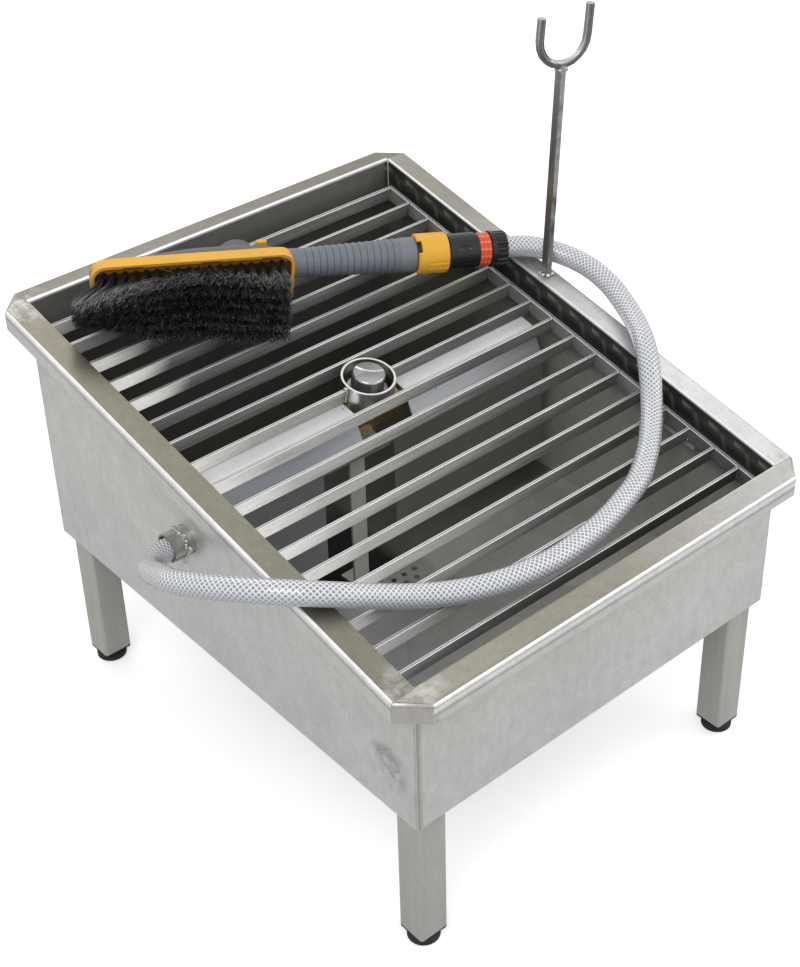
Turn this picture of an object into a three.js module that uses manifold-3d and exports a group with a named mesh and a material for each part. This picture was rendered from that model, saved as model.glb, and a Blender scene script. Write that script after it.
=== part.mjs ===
// Boot washer: a stainless tub on four legs with a sloping rim, a lift-out bar grate,
// a foot-operated water valve, a wash brush lying on the grate and the hose that feeds it.
// Millimetres, +Z up, the floor at z = 0. Seen from the front, +X is right and +Y is back.

import * as THREE from 'three';
import { mergeVertices } from 'three/addons/utils/BufferGeometryUtils.js';
import Module from 'manifold-3d';

const wasm = await Module();
wasm.setup();

// Sizes shared by several pieces
const weldGap = 0.3;
const slideGap = 0.5;
const overrun = 20;
const mergeTolerance = 0.0001;

// Tub sheet metal
const tubWidth = 427;
const tubLength = 532;
const tubSheet = 1.5;
const tubBottom = 160;
const rimFrontHeight = 316;
const slopeDegrees = 11.36;
const rimWidth = 23;
const rimDepth = 20;
const rimBend = 4;
const ledgeReach = 14;
const ledgeLength = 60;
const ledgeSheet = 2;
const ledgePlaceShares = [0.2, 0.8];

// Floor pan and drain
const panSheet = 1.5;
const panBorder = 40;
const panFall = 14;
const drainOuter = 44;
const drainBore = 38;
const drainLength = 34;
const drainFlange = 60;
const drainFlangeSheet = 3;
const strainerSheet = 2;
const strainerHole = 6;
const strainerCircle = 13;
const strainerHoles = 6;

// Legs, tube caps and levelling feet
const legSide = 30;
const legWall = 2;
const legCorner = 3;
const legInsetX = 6.5;
const legInsetY = 5.5;
const legEnd = 13;
const capLip = 2;
const capPlug = 12;
const capFit = 0.4;
const footWidth = 30;
const footDisc = 6;
const footBevel = 1.5;
const footNeck = 16;
const footStem = 8;
const footStemLength = 11;

// Grate of flat bars on edge
const barHeight = 15;
const barThickness = 3;
const frameThickness = 4;
const barPitch = 30.81;
const grateDepth = 20;
const grateSideGap = 6.2;
const rearBarPlace = 523;
const frontBarStep = 21.5;
const barCount = 17;
const ringBar = 8;

// Ring round the foot button
const ringOuter = 51;
const ringWall = 2;
const ringHeight = 23;
const ringProud = 3;
const ringOffset = -3.85;

// Foot button, its collar and the brass valve
const buttonWidth = 31;
const buttonProud = 6.8;
const buttonDome = 1.6;
const buttonShoulder = 2.4;
const buttonSkirt = 24.5;
const buttonTravel = 7;
const stemWidth = 10;
const stemReach = 24;
const collarOuter = 39;
const collarDepth = 15;
const collarHeight = 13;
const collarFloor = 2.5;
const valveWidth = 35;
const valveWaist = 29;
const valveShoulder = 4;
const valveCrossDrop = 46;
const valveCrossWidth = 28;
const valveHexWidth = 31;
const valveHexLength = 15;
const valveLeftReach = 47;
const valveRightReach = 27;
const valveNipple = 3;
const valveRibWidth = 32;
const valveRibLength = 4;

// Bracket under the valve
const bracketSheet = 2.5;
const bracketWidth = 48;
const bracketLeftReach = 45.1;
const bracketFrontReach = 34.3;
const bracketReach = 48;
const bracketLegWidth = 17;
const bracketFootLength = 22;

// Splash guard under the ring's bar
const guardSheet = 1.5;
const guardWidth = 384;
const guardLip = 20;
const guardLipPitchDegrees = 11.36;
const guardSlant = 34;
const guardSlantDegrees = 63;
const guardBottom = 205;
const guardBackOffset = 3;
const notchLeftReach = 29.15;
const notchRightReach = 30.85;
const notchRise = 1.17;
const doorLeftReach = 78.15;
const doorRightReach = 4.85;
const doorDrop = 11.83;

// Pipes and hose
const supplyWidth = 15;
const supplyBore = 12;
const supplyProud = 18;
const socketOuter = 27;
const socketBore = 24;
const socketProud = 21;
const socketInside = 8;
const socketPlace = 36.8;
const socketDrop = 92.44;
const hoseWidth = 21;
const innerHoseSteps = 16;
const hoseSteps = 70;
const hoseInset = 9.7;
const hoseSides = 8;

// Brush holder on the right rim
const hookSide = 8;
const hookChamfer = 1;
const hookPlace = 41.6;
const hookOutset = 11.5;
const hookHeight = 219;
const hookLeanX = 6;
const hookLeanY = -6;
const forkSpan = 51;
const forkLeftArm = 21;
const forkRightArm = 30;
const forkLeanDegrees = 4.5;
const forkTurnDegrees = -12.5;
const forkSteps = 18;

// Wash brush
const brushTurnDegrees = -25.6;
const brushPlaceX = 17.2;
const brushPlaceY = 445.7;
const headWidth = 63;
const headLength = 187;
const headEnd = -7;
const headFace = -25;
const headDepth = 12;
const headCorner = 14;
const headWall = 3.2;
const headRecess = 5;
const slotLength = 18;
const slotWidth = 1.6;
const slotPlaceShares = [0.2, 0.58, 0.88];
const bristleBacking = 1.5;
const bristleMargin = 4;
const bristleLength = 62;
const bristleWidth = 1.5;
const bristleTip = 0.9;
const bristleRoot = 1.6;
const bristleSpread = 2.6;
const bristleRagged = 3;
const bristleLean = 8;
const bristleSplay = 22;
const splayPower = 1.5;
// Where the tips reach across the head: the share along it, then the lowest and highest share of its width
const tipShares = [
  [0, 0.04, 0.46], [0.2, -0.09, 0.66], [0.35, -0.26, 0.81], [0.55, -0.24, 0.88], [0.75, -0.4, 0.82],
  [1, -0.44, 0.72],
];
// Uneven spread of the strands, from a wave of a large number
const unevenStep = 12.9898;
const unevenScale = 43758.5453;
const middleShare = 0.5;
const tuftColumns = 18;
const tuftRows = 6;
const strandsPerTuft = 3;
const bodyLength = 180;
const bodyRidge = 12;
const bodyEdge = 29;
const bodySquareness = 0.7;
const bodyShares = [
  [0, 0.22, 0.6], [0.06, 0.34, 0.86], [0.25, 0.6, 0.96], [0.5, 0.85, 1],
  [0.72, 0.98, 0.95], [0.88, 1, 0.8], [0.96, 1.05, 0.6], [1, 1.08, 0.5],
];
const bossMargin = 2;
const knobPlace = -55;
const knobWidth = 35;
const knobBase = 15;
const knobTop = 28;
const knobDome = 8;
const smallKnobPlace = -90;
const smallKnobWidth = 20;
const smallKnobTop = 24;
const smallKnobDome = 5;
const smallKnobFlatShare = 0.35;
const latchPlace = -26;
const latchLength = 10;
const latchWidth = 36;
const latchHeight = 5;
const handleEnd = 116;
const handleNeck = 29;
const handleWidth = 34;
const ribCount = 14;
const ribShare = 0.6;
const ribHeight = 0.9;
const sleeveWidth = 39.5;
const sleeveLength = 31;
const sleeveBevel = 1;
const sleeveNotches = 3;
const sleeveNotch = 4;
const sleeveNotchWidth = 12;
const sleeveSlotWidth = 3;
const sleeveSlotDepth = 1.2;
const sleeveSlotLength = 20;
const tubeWidth = 31;
const connectorWidth = 35;
const connectorLength = 31;
const connectorStep = 3;
const connectorDimples = 4;
const dimpleLength = 15;
const dimpleWidth = 7;
const dimpleDepth = 1.5;
const sealWidth = 33;
const sealLength = 12;
const sealGroove = 1;
const lockRings = 3;
const nutWidth = 34;
const nutLength = 16;
const nutFlange = 3;
const nutRibs = 16;
const nutRibDepth = 1.4;
const nutRibShares = [0.2, 0.6, 0.8];
const nutBore = 22;
const nutDepth = 12;

// Shape steps
const roundSides = 24;
const ringSides = 32;
const smallSides = 12;
const buttonSides = 48;
const buttonSteps = 6;
const gripSides = 16;
const bendSteps = 4;
const cornerSteps = 2;

// Materials in the colours of the photograph
const finish = (color, roughness, metalness) =>
  new THREE.MeshStandardMaterial({ color, roughness, metalness });
const satinSteel = finish(0xb9b6ad, 0.38, 0.9);
const panSteel = finish(0x8d8b84, 0.4, 0.9);
const barSteel = finish(0xa8a69f, 0.35, 0.95);
const guardSteel = finish(0xcfd4da, 0.3, 0.9);
const polishedChrome = finish(0xd9d9d6, 0.12, 1);
const castBrass = finish(0xb08d4f, 0.4, 0.85);
const blackPlastic = finish(0x1b1c1e, 0.5, 0);
const greyPlastic = finish(0x63676c, 0.6, 0);
const yellowPlastic = finish(0xf0a81c, 0.5, 0);
const orangePlastic = finish(0xd9432b, 0.5, 0);
const bristleBlack = finish(0x26262a, 0.85, 0);
const hoseClear = finish(0xc9cbd0, 0.35, 0);

// Worked-out places
const slope = THREE.MathUtils.degToRad(slopeDegrees);
const frontY = -tubLength / 2;
const backY = tubLength / 2;
const sideX = tubWidth / 2;
const rimHeightAt = (y) => rimFrontHeight + (y - frontY) * Math.tan(slope);
const rimBackHeight = rimHeightAt(backY);
const slopeMatrix = new THREE.Matrix4()
  .makeTranslation(0, frontY, rimFrontHeight)
  .multiply(new THREE.Matrix4().makeRotationX(slope));
const slopeLength = tubLength / Math.cos(slope);
const barPlace = (number) => rearBarPlace - (number - 1) * barPitch;
const ringPlace = barPlace(ringBar);
const ringTop = -grateDepth + ringProud;

// Closed geometry with shared corners, no flat triangles and its faces pointing out
function closed(geometry) {
  const bare = geometry.clone();
  bare.deleteAttribute('normal');
  bare.deleteAttribute('uv');
  const merged = mergeVertices(bare, mergeTolerance);
  const place = merged.getAttribute('position');
  const kept = [];
  const [a, b, c] = [new THREE.Vector3(), new THREE.Vector3(), new THREE.Vector3()];
  let volume = 0;
  for (let i = 0; i < merged.index.count; i += 3) {
    const corners = [0, 1, 2].map((step) => merged.index.getX(i + step));
    if (new Set(corners).size === 3) {
      kept.push(...corners);
      a.fromBufferAttribute(place, corners[0]);
      b.fromBufferAttribute(place, corners[1]);
      c.fromBufferAttribute(place, corners[2]);
      volume += a.dot(b.cross(c));
    }
  }
  if (volume < 0) {
    for (let i = 0; i < kept.length; i += 3) {
      [kept[i + 1], kept[i + 2]] = [kept[i + 2], kept[i + 1]];
    }
  }
  merged.setIndex(kept);
  return merged;
}

// A solid for joining and cutting, and the way back to a geometry
function solid(geometry) {
  const shape = closed(geometry);
  return new wasm.Manifold(new wasm.Mesh({
    numProp: 3,
    vertProperties: new Float32Array(shape.getAttribute('position').array),
    triVerts: new Uint32Array(shape.index.array),
  }));
}

function geometryOf(body) {
  const mesh = body.getMesh();
  const geometry = new THREE.BufferGeometry();
  geometry.setAttribute('position', new THREE.BufferAttribute(mesh.vertProperties, 3));
  geometry.setIndex(new THREE.BufferAttribute(mesh.triVerts, 1));
  return geometry;
}

function join(geometries) {
  return geometryOf(geometries.map(solid).reduce((body, next) => body.add(next)));
}

function cut(geometry, tools) {
  return geometryOf(tools.map(solid).reduce((body, tool) => body.subtract(tool), solid(geometry)));
}

function keepInside(geometry, tool) {
  return geometryOf(solid(geometry).intersect(solid(tool)));
}

// A box between two corners
function block(x0, x1, y0, y1, z0, z1) {
  const box = new THREE.BoxGeometry(x1 - x0, y1 - y0, z1 - z0);
  return box.translate((x0 + x1) / 2, (y0 + y1) / 2, (z0 + z1) / 2);
}

// A turned piece about Z from [radius, height] pairs, closed on itself or on the axis
function turned(profile, sides) {
  const points = profile.map(([radius, height]) => new THREE.Vector2(radius, height));
  return new THREE.LatheGeometry(points, sides).rotateX(Math.PI / 2);
}

function disc(width, z0, z1, sides) {
  return turned([[0, z0], [width / 2, z0], [width / 2, z1], [0, z1]], sides);
}

function tubePiece(outer, bore, z0, z1, sides) {
  const [r0, r1] = [outer / 2, bore / 2];
  return turned([[r1, z0], [r0, z0], [r0, z1], [r1, z1], [r1, z0]], sides);
}

// An outline pushed along Z
function pushed(points, depth) {
  const shape = new THREE.Shape(points.map(([x, y]) => new THREE.Vector2(x, y)));
  return new THREE.ExtrudeGeometry(shape, { depth, bevelEnabled: false });
}

// The same outline in the YZ plane, pushed along +X from x0
function pushedAlongX(points, x0, depth) {
  const turn = new THREE.Matrix4().set(0, 0, 1, x0, 1, 0, 0, 0, 0, 1, 0, 0, 0, 0, 0, 1);
  return pushed(points, depth).applyMatrix4(turn);
}

function roundedBar(side, corner, length, bore) {
  const shape = roundedSquare(side, side, corner);
  if (bore > 0) {
    shape.holes.push(new THREE.Path(roundedSquare(bore, bore, corner / 2).getPoints(cornerSteps)));
  }
  return new THREE.ExtrudeGeometry(shape, { depth: length, bevelEnabled: false, curveSegments: cornerSteps });
}

function roundedSquare(width, height, corner) {
  const [x, y, r] = [width / 2, height / 2, corner];
  const shape = new THREE.Shape();
  shape.moveTo(r - x, -y);
  shape.lineTo(x - r, -y);
  shape.absarc(x - r, r - y, r, -Math.PI / 2, 0);
  shape.lineTo(x, y - r);
  shape.absarc(x - r, y - r, r, 0, Math.PI / 2);
  shape.lineTo(r - x, y);
  shape.absarc(r - x, y - r, r, Math.PI / 2, Math.PI);
  shape.lineTo(-x, r - y);
  shape.absarc(r - x, r - y, r, Math.PI, Math.PI * 1.5);
  return shape;
}

// A skin through rings of points that run the same way round, with both ends closed
function lofted(rings) {
  const count = rings[0].length;
  const places = rings.flat().flatMap((point) => [point.x, point.y, point.z]);
  const faces = [];
  for (let ring = 0; ring + 1 < rings.length; ring += 1) {
    for (let i = 0; i < count; i += 1) {
      const [p, q] = [ring * count + i, ring * count + ((i + 1) % count)];
      faces.push(p, q, q + count, p, q + count, p + count);
    }
  }
  const cap = endTriangles(rings[0]);
  const last = (rings.length - 1) * count;
  cap.forEach(([i, j, k]) => faces.push(i, k, j));
  cap.forEach(([i, j, k]) => faces.push(last + i, last + j, last + k));
  const geometry = new THREE.BufferGeometry();
  geometry.setAttribute('position', new THREE.Float32BufferAttribute(places, 3));
  geometry.setIndex(faces);
  return geometry;
}

// Triangles of a flat ring, found on the plane in which it is widest
function endTriangles(ring) {
  const box = new THREE.Box3().setFromPoints(ring);
  const size = box.getSize(new THREE.Vector3());
  const flat = size.z <= size.x && size.z <= size.y ? ['x', 'y'] : size.x <= size.y ? ['y', 'z'] : ['z', 'x'];
  const outline = ring.map((point) => new THREE.Vector2(point[flat[0]], point[flat[1]]));
  const turn = THREE.ShapeUtils.isClockWise(outline);
  const faces = THREE.ShapeUtils.triangulateShape(turn ? [...outline].reverse() : outline, []);
  const back = (i) => (turn ? outline.length - 1 - i : i);
  return faces.map(([i, j, k]) => (turn ? [back(k), back(j), back(i)] : [i, j, k]));
}

// An outline drawn in by a distance of its own at each edge
function drawnIn(outline, distances) {
  const count = outline.length;
  const edges = outline.map(([x, y], i) => {
    const [nextX, nextY] = outline[(i + 1) % count];
    const length = Math.hypot(nextX - x, nextY - y);
    const [dx, dy] = [(nextX - x) / length, (nextY - y) / length];
    return { dx, dy, x: x - dy * distances[i], y: y + dx * distances[i] };
  });
  return edges.map((edge, i) => {
    const before = edges[(i + count - 1) % count];
    const cross = before.dx * edge.dy - before.dy * edge.dx;
    const along = ((edge.x - before.x) * edge.dy - (edge.y - before.y) * edge.dx) / cross;
    return [before.x + before.dx * along, before.y + before.dy * along];
  });
}

// A flat flange whose marked edges bend down into a skirt, its top at z = 0
function bentFlange(outline, bent) {
  const shell = (inset, open, radius, top, bottom) => {
    const at = (drawn, z) =>
      drawnIn(outline, bent.map((isBent) => (isBent ? inset + drawn : -open)))
        .map(([x, y]) => new THREE.Vector3(x, y, z));
    const rings = [at(0, bottom)];
    for (let i = 0; i <= bendSteps; i += 1) {
      const angle = (Math.PI / 2) * (i / bendSteps);
      rings.push(at(radius * (1 - Math.cos(angle)), top - radius * (1 - Math.sin(angle))));
    }
    return lofted(rings);
  };
  const outer = shell(0, 0, rimBend, 0, -rimDepth);
  const inner = shell(tubSheet, overrun, rimBend - tubSheet, -tubSheet, -rimDepth - overrun);
  return cut(outer, [inner]);
}

// The exported scene: the stand holds all, its slope frame lies in the plane of the rim
const part = new THREE.Group();
const stand = new THREE.Group();
const slopeFrame = new THREE.Group();
slopeFrame.position.set(0, frontY, rimFrontHeight);
slopeFrame.rotation.x = slope;
stand.add(slopeFrame);
part.add(stand);

function add(parent, name, geometry, material) {
  const mesh = new THREE.Mesh(closed(geometry), material);
  mesh.name = name;
  parent.add(mesh);
  return mesh;
}

// Front and back walls, each with its flat flange and the two cut corners of the rim
function endWall(top) {
  const rimX = sideX + rimWidth;
  const sheet = block(-sideX, sideX, frontY, frontY + tubSheet, tubBottom, top);
  const outline = [
    [-rimX, frontY], [-sideX, frontY - rimWidth], [sideX, frontY - rimWidth], [rimX, frontY],
    [sideX, frontY], [sideX, frontY + tubSheet], [-sideX, frontY + tubSheet], [-sideX, frontY],
  ];
  const bent = [true, true, true, false, false, false, false, false];
  return join([sheet, bentFlange(outline, bent).translate(0, 0, top)]);
}

add(stand, 'wall_front', endWall(rimFrontHeight), satinSteel);
const supplyDrop = grateDepth + valveCrossDrop;
const valveCentre = new THREE.Vector3(ringOffset, ringPlace, -supplyDrop).applyMatrix4(slopeMatrix);
const supplyStartX = valveCentre.x + valveRightReach + valveHexLength - valveNipple + weldGap;
add(stand, 'wall_back', endWall(rimBackHeight).rotateZ(Math.PI), satinSteel);

// Side walls: a sheet under the slope, its flange and skirt, and two ledges for the grate
function sideWall() {
  const [outer, inner] = [-sideX, tubSheet - sideX];
  const sheetEnd = frontY + tubSheet + weldGap;
  const sheet = pushedAlongX([
    [sheetEnd, tubBottom], [-sheetEnd, tubBottom],
    [-sheetEnd, rimHeightAt(-sheetEnd)], [sheetEnd, rimHeightAt(sheetEnd)],
  ], outer, tubSheet);
  const reach = slopeLength + overrun;
  const flange = bentFlange([
    [outer - rimWidth, -overrun], [inner, -overrun], [inner, reach], [outer - rimWidth, reach],
  ], [false, false, false, true]).applyMatrix4(slopeMatrix);
  const length = -frontY - weldGap;
  const tall = rimBackHeight + overrun;
  const span = block(outer - rimWidth - overrun, inner, -length, length, 0, tall);
  const corner = (y0, y1) => block(outer - weldGap, sideX, y0, y1, 0, tall);
  const trimmed = cut(keepInside(flange, span), [
    corner(frontY - overrun, sheetEnd), corner(-sheetEnd, backY + overrun),
  ]);
  const ledgeTop = -grateDepth - barHeight - weldGap;
  const ledges = ledgePlaceShares.map((share) => {
    const y = slopeLength * share;
    return block(inner - tubSheet / 2, inner + ledgeReach, y - ledgeLength / 2, y + ledgeLength / 2,
      ledgeTop - ledgeSheet, ledgeTop).applyMatrix4(slopeMatrix);
  });
  return join([sheet, trimmed, ...ledges]);
}

const socketHeight = rimHeightAt(socketPlace) - socketDrop;
const socketHole = disc(socketOuter + 2 * weldGap, -overrun, overrun, roundSides)
  .rotateY(Math.PI / 2)
  .translate(-sideX, socketPlace, socketHeight);
add(stand, 'wall_left', cut(sideWall(), [socketHole]), satinSteel);
const supplyHole = disc(supplyWidth + 2 * weldGap, -overrun, overrun, roundSides)
  .rotateY(Math.PI / 2)
  .translate(sideX, valveCentre.y, valveCentre.z);
add(stand, 'wall_right', cut(sideWall().scale(-1, 1, 1), [supplyHole]), satinSteel);

// Floor pan: a flat border, four facets that fall to the drain and a hole in the middle
function floorPan() {
  const edgeX = sideX - tubSheet - weldGap;
  const edgeY = backY - tubSheet - weldGap;
  const rectangle = (x, y, z) =>
    [[-x, -y], [x, -y], [x, y], [-x, y]].map(([px, py]) => new THREE.Vector3(px, py, z));
  const well = (lift, rise) => lofted([
    rectangle(drainFlange / 2, drainFlange / 2, tubBottom - panFall + lift),
    rectangle(edgeX - panBorder, edgeY - panBorder, tubBottom + lift),
    rectangle(edgeX - panBorder, edgeY - panBorder, tubBottom + lift + rise),
  ]);
  const plate = block(-edgeX, edgeX, -edgeY, edgeY, tubBottom, tubBottom + panSheet);
  const hole = disc(drainOuter + 2 * weldGap, tubBottom - panFall - overrun, tubBottom + overrun, roundSides);
  return cut(join([plate, well(0, panSheet)]), [well(panSheet, overrun), hole]);
}

// Height of the pan's upper face
function panTopAt(x, y) {
  const inner = drainFlange / 2;
  const shareX = (Math.abs(x) - inner) / (sideX - tubSheet - weldGap - panBorder - inner);
  const shareY = (Math.abs(y) - inner) / (backY - tubSheet - weldGap - panBorder - inner);
  return tubBottom + panSheet - panFall * (1 - Math.max(shareX, shareY, 0));
}

add(stand, 'floor_pan', floorPan(), panSteel);

// Drain: a flanged stub under the pan with a strainer plate in its mouth
function drain() {
  const top = tubBottom - panFall;
  const flangeTop = top + panSheet;
  const stub = turned([
    [drainBore / 2, top - drainLength], [drainOuter / 2, top - drainLength],
    [drainOuter / 2, top - drainFlangeSheet - weldGap], [drainFlange / 2, top - drainFlangeSheet - weldGap],
    [drainFlange / 2, top - weldGap], [drainOuter / 2, top - weldGap],
    [drainOuter / 2, flangeTop], [drainBore / 2, flangeTop], [drainBore / 2, top - drainLength],
  ], roundSides);
  const plate = disc((drainBore + drainOuter) / 2, flangeTop - strainerSheet, flangeTop, roundSides);
  const holes = [disc(strainerHole, top - overrun, top + overrun, smallSides)];
  for (let i = 0; i < strainerHoles; i += 1) {
    const angle = (2 * Math.PI * i) / strainerHoles;
    holes.push(disc(strainerHole, top - overrun, top + overrun, smallSides)
      .translate(strainerCircle * Math.cos(angle), strainerCircle * Math.sin(angle), 0));
  }
  return join([stub, cut(plate, holes)]);
}

add(stand, 'drain_outlet', drain(), satinSteel);

// Legs with their caps and feet
const legX = sideX - legInsetX - legSide / 2;
const legY = backY - legInsetY - legSide / 2;
const legPlaces = [
  ['front_left', -legX, -legY], ['front_right', legX, -legY],
  ['back_left', -legX, legY], ['back_right', legX, legY],
];

function legCap() {
  const plugSide = legSide - 2 * legWall - capFit;
  const lip = roundedBar(legSide, legCorner, capLip, 0).translate(0, 0, legEnd - capLip);
  const plug = roundedBar(plugSide, legCorner / 2, capLip / 2 + capPlug, 0)
    .translate(0, 0, legEnd - capLip / 2);
  const bore = disc(footStem + 2 * weldGap, legEnd - capLip - overrun, legEnd + capPlug + overrun, smallSides);
  return cut(join([lip, plug]), [bore]);
}

function levellingFoot() {
  const top = legEnd - capLip - weldGap;
  return turned([
    [0, 0], [footWidth / 2 - footBevel, 0], [footWidth / 2, footBevel], [footWidth / 2, footDisc],
    [footNeck / 2, top], [footStem / 2, top], [footStem / 2, top + footStemLength], [0, top + footStemLength],
  ], roundSides);
}

for (const [place, x, y] of legPlaces) {
  const leg = roundedBar(legSide, legCorner, tubBottom - legEnd, legSide - 2 * legWall);
  add(stand, `leg_${place}`, leg.translate(x, y, legEnd), satinSteel);
  add(stand, `leg_cap_${place}`, legCap().translate(x, y, 0), blackPlastic);
  add(stand, `foot_${place}`, levellingFoot().translate(x, y, 0), blackPlastic);
}

// Grate: two side bars, the cross bars between them and the bar that the ring interrupts
const barTop = -grateDepth;
const barBottom = barTop - barHeight;
const sideBarX = sideX - tubSheet - grateSideGap - frameThickness / 2;
const frontBarPlace = barPlace(barCount) - frontBarStep;
const barEnd = sideBarX - frameThickness / 2 - weldGap;

for (const [side, direction] of [['left', -1], ['right', 1]]) {
  const x = direction * sideBarX;
  const bar = block(x - frameThickness / 2, x + frameThickness / 2, frontBarPlace - frameThickness / 2,
    barPlace(1) + frameThickness / 2, barBottom, barTop);
  add(slopeFrame, `grate_side_${side}`, bar, barSteel);
}

function crossBar(place, thickness, x0, x1) {
  return block(x0, x1, place - thickness / 2, place + thickness / 2, barBottom, barTop);
}

for (let number = 1; number <= barCount; number += 1) {
  if (number !== ringBar) {
    const thickness = number === 1 ? frameThickness : barThickness;
    add(slopeFrame, `grate_bar_${number}`, crossBar(barPlace(number), thickness, -barEnd, barEnd), barSteel);
  }
}
add(slopeFrame, 'grate_bar_front', crossBar(frontBarPlace, frameThickness, -barEnd, barEnd), barSteel);

const ringHole = disc(ringOuter + 2 * weldGap, barBottom - overrun, barTop + overrun, ringSides)
  .translate(ringOffset, ringPlace, 0);
const leftHalf = crossBar(ringPlace, barThickness, -barEnd, ringOffset);
const rightHalf = crossBar(ringPlace, barThickness, ringOffset, barEnd);
add(slopeFrame, `grate_bar_${ringBar}_left`, cut(leftHalf, [ringHole]), barSteel);
add(slopeFrame, `grate_bar_${ringBar}_right`, cut(rightHalf, [ringHole]), barSteel);
const ring = tubePiece(ringOuter, ringOuter - 2 * ringWall, ringTop - ringHeight, ringTop, ringSides);
add(slopeFrame, 'valve_ring', ring.translate(ringOffset, ringPlace, 0), barSteel);

// Splash guard: a lip under the ring's bar, a slanted face and a plumb apron
function guard() {
  const start = new THREE.Vector3(0, ringPlace + guardBackOffset, barBottom - weldGap).applyMatrix4(slopeMatrix);
  const lipPitch = THREE.MathUtils.degToRad(guardLipPitchDegrees);
  const slant = THREE.MathUtils.degToRad(guardSlantDegrees);
  const kneeY = start.y - guardLip * Math.cos(lipPitch);
  const kneeZ = start.z - guardLip * Math.sin(lipPitch);
  const footY = kneeY - guardSlant * Math.cos(slant);
  const footZ = kneeZ - guardSlant * Math.sin(slant);
  const face = [[start.y, start.z], [kneeY, kneeZ], [footY, footZ], [footY, guardBottom]];
  const sheetSide = (point, turnBefore, turnAfter) => {
    const middle = (turnBefore + turnAfter) / 2;
    const reach = guardSheet / Math.cos((turnAfter - turnBefore) / 2);
    return [point[0] + reach * Math.sin(middle), point[1] - reach * Math.cos(middle)];
  };
  const plumb = Math.PI / 2;
  const backFace = [
    sheetSide(face[0], lipPitch, lipPitch), sheetSide(face[1], lipPitch, slant),
    sheetSide(face[2], slant, plumb), sheetSide(face[3], plumb, plumb),
  ];
  const sheet = pushedAlongX([...face, ...backFace.reverse()], -guardWidth / 2, guardWidth);
  const notch = block(valveCentre.x - notchLeftReach, valveCentre.x + notchRightReach,
    footY - overrun, start.y + overrun, valveCentre.z + notchRise, start.z + overrun);
  const door = block(valveCentre.x - doorLeftReach, valveCentre.x + doorRightReach,
    footY - overrun, footY + overrun, guardBottom - overrun, valveCentre.z - doorDrop);
  return cut(sheet, [notch, door]);
}

add(stand, 'splash_guard', guard(), guardSteel);

// Foot button on its stem, in a cup-shaped collar on the brass valve
const buttonTop = ringTop + buttonProud;
const collarTop = ringTop - collarDepth;
const collarBottom = collarTop - collarHeight;
const buttonRadius = buttonWidth / 2;
const skirtEnd = buttonTop - buttonSkirt;
const buttonProfile = [[0, buttonTop]];
for (let i = 1; i <= bendSteps; i += 1) {
  const share = i / bendSteps;
  buttonProfile.push([(buttonRadius - buttonShoulder) * share, buttonTop - buttonDome * share * share]);
}
for (let i = 1; i < buttonSteps; i += 1) {
  const angle = (Math.PI / 2) * (i / buttonSteps);
  buttonProfile.push([buttonRadius - buttonShoulder * (1 - Math.sin(angle)),
    buttonTop - buttonDome - buttonShoulder * (1 - Math.cos(angle))]);
}
const button = turned([
  ...buttonProfile,
  [buttonRadius, buttonTop - buttonDome - buttonShoulder], [buttonRadius, skirtEnd],
  [stemWidth / 2, skirtEnd], [stemWidth / 2, skirtEnd - stemReach], [0, skirtEnd - stemReach],
], buttonSides);
add(slopeFrame, 'valve_button', button.translate(ringOffset, ringPlace, 0), polishedChrome);

const collarBore = buttonWidth + 2 * slideGap;
const stemBore = stemWidth + 2 * slideGap;
const collar = turned([
  [stemBore / 2, collarBottom], [collarOuter / 2, collarBottom], [collarOuter / 2, collarTop],
  [collarBore / 2, collarTop], [collarBore / 2, collarBottom + collarFloor],
  [stemBore / 2, collarBottom + collarFloor], [stemBore / 2, collarBottom],
], ringSides);
add(slopeFrame, 'valve_collar', collar.translate(ringOffset, ringPlace, 0), polishedChrome);

const plateTop = valveCentre.z - valveCrossWidth / 2;

function valveBody() {
  const top = collarBottom - weldGap;
  const crossAt = -supplyDrop;
  const bottom = crossAt - valveCrossWidth;
  const along = (geometry, x0) => geometry.rotateY(Math.PI / 2).translate(x0, 0, crossAt);
  const barrel = turned([
    [0, bottom], [valveWaist / 2, bottom], [valveWaist / 2, crossAt + valveShoulder],
    [valveWidth / 2, crossAt + 2 * valveShoulder], [valveWidth / 2, top], [0, top],
  ], roundSides);
  const cross = along(disc(valveCrossWidth, 0, valveLeftReach + valveRightReach, roundSides), -valveLeftReach);
  const hex = () => disc(valveHexWidth, 0, valveHexLength, 6).rotateZ(Math.PI / roundSides);
  const hexLeft = along(hex(), valveNipple - valveLeftReach);
  const hexRight = along(hex(), valveRightReach - valveNipple);
  const rib = along(disc(valveRibWidth, 0, valveRibLength, roundSides), -(valveWidth + valveRibLength) / 2);
  const stemHole = disc(stemBore, skirtEnd - stemReach - buttonTravel - weldGap, top + overrun, smallSides);
  const pieces = [barrel, cross, hexLeft, hexRight, rib, stemHole];
  pieces.forEach((piece) => piece.translate(ringOffset, ringPlace, 0).applyMatrix4(slopeMatrix));
  const under = block(-sideX, sideX, frontY, backY, 0, plateTop + weldGap);
  return cut(join(pieces.slice(0, -1)), [stemHole, under]);
}

add(stand, 'valve_body', valveBody(), castBrass);

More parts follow.
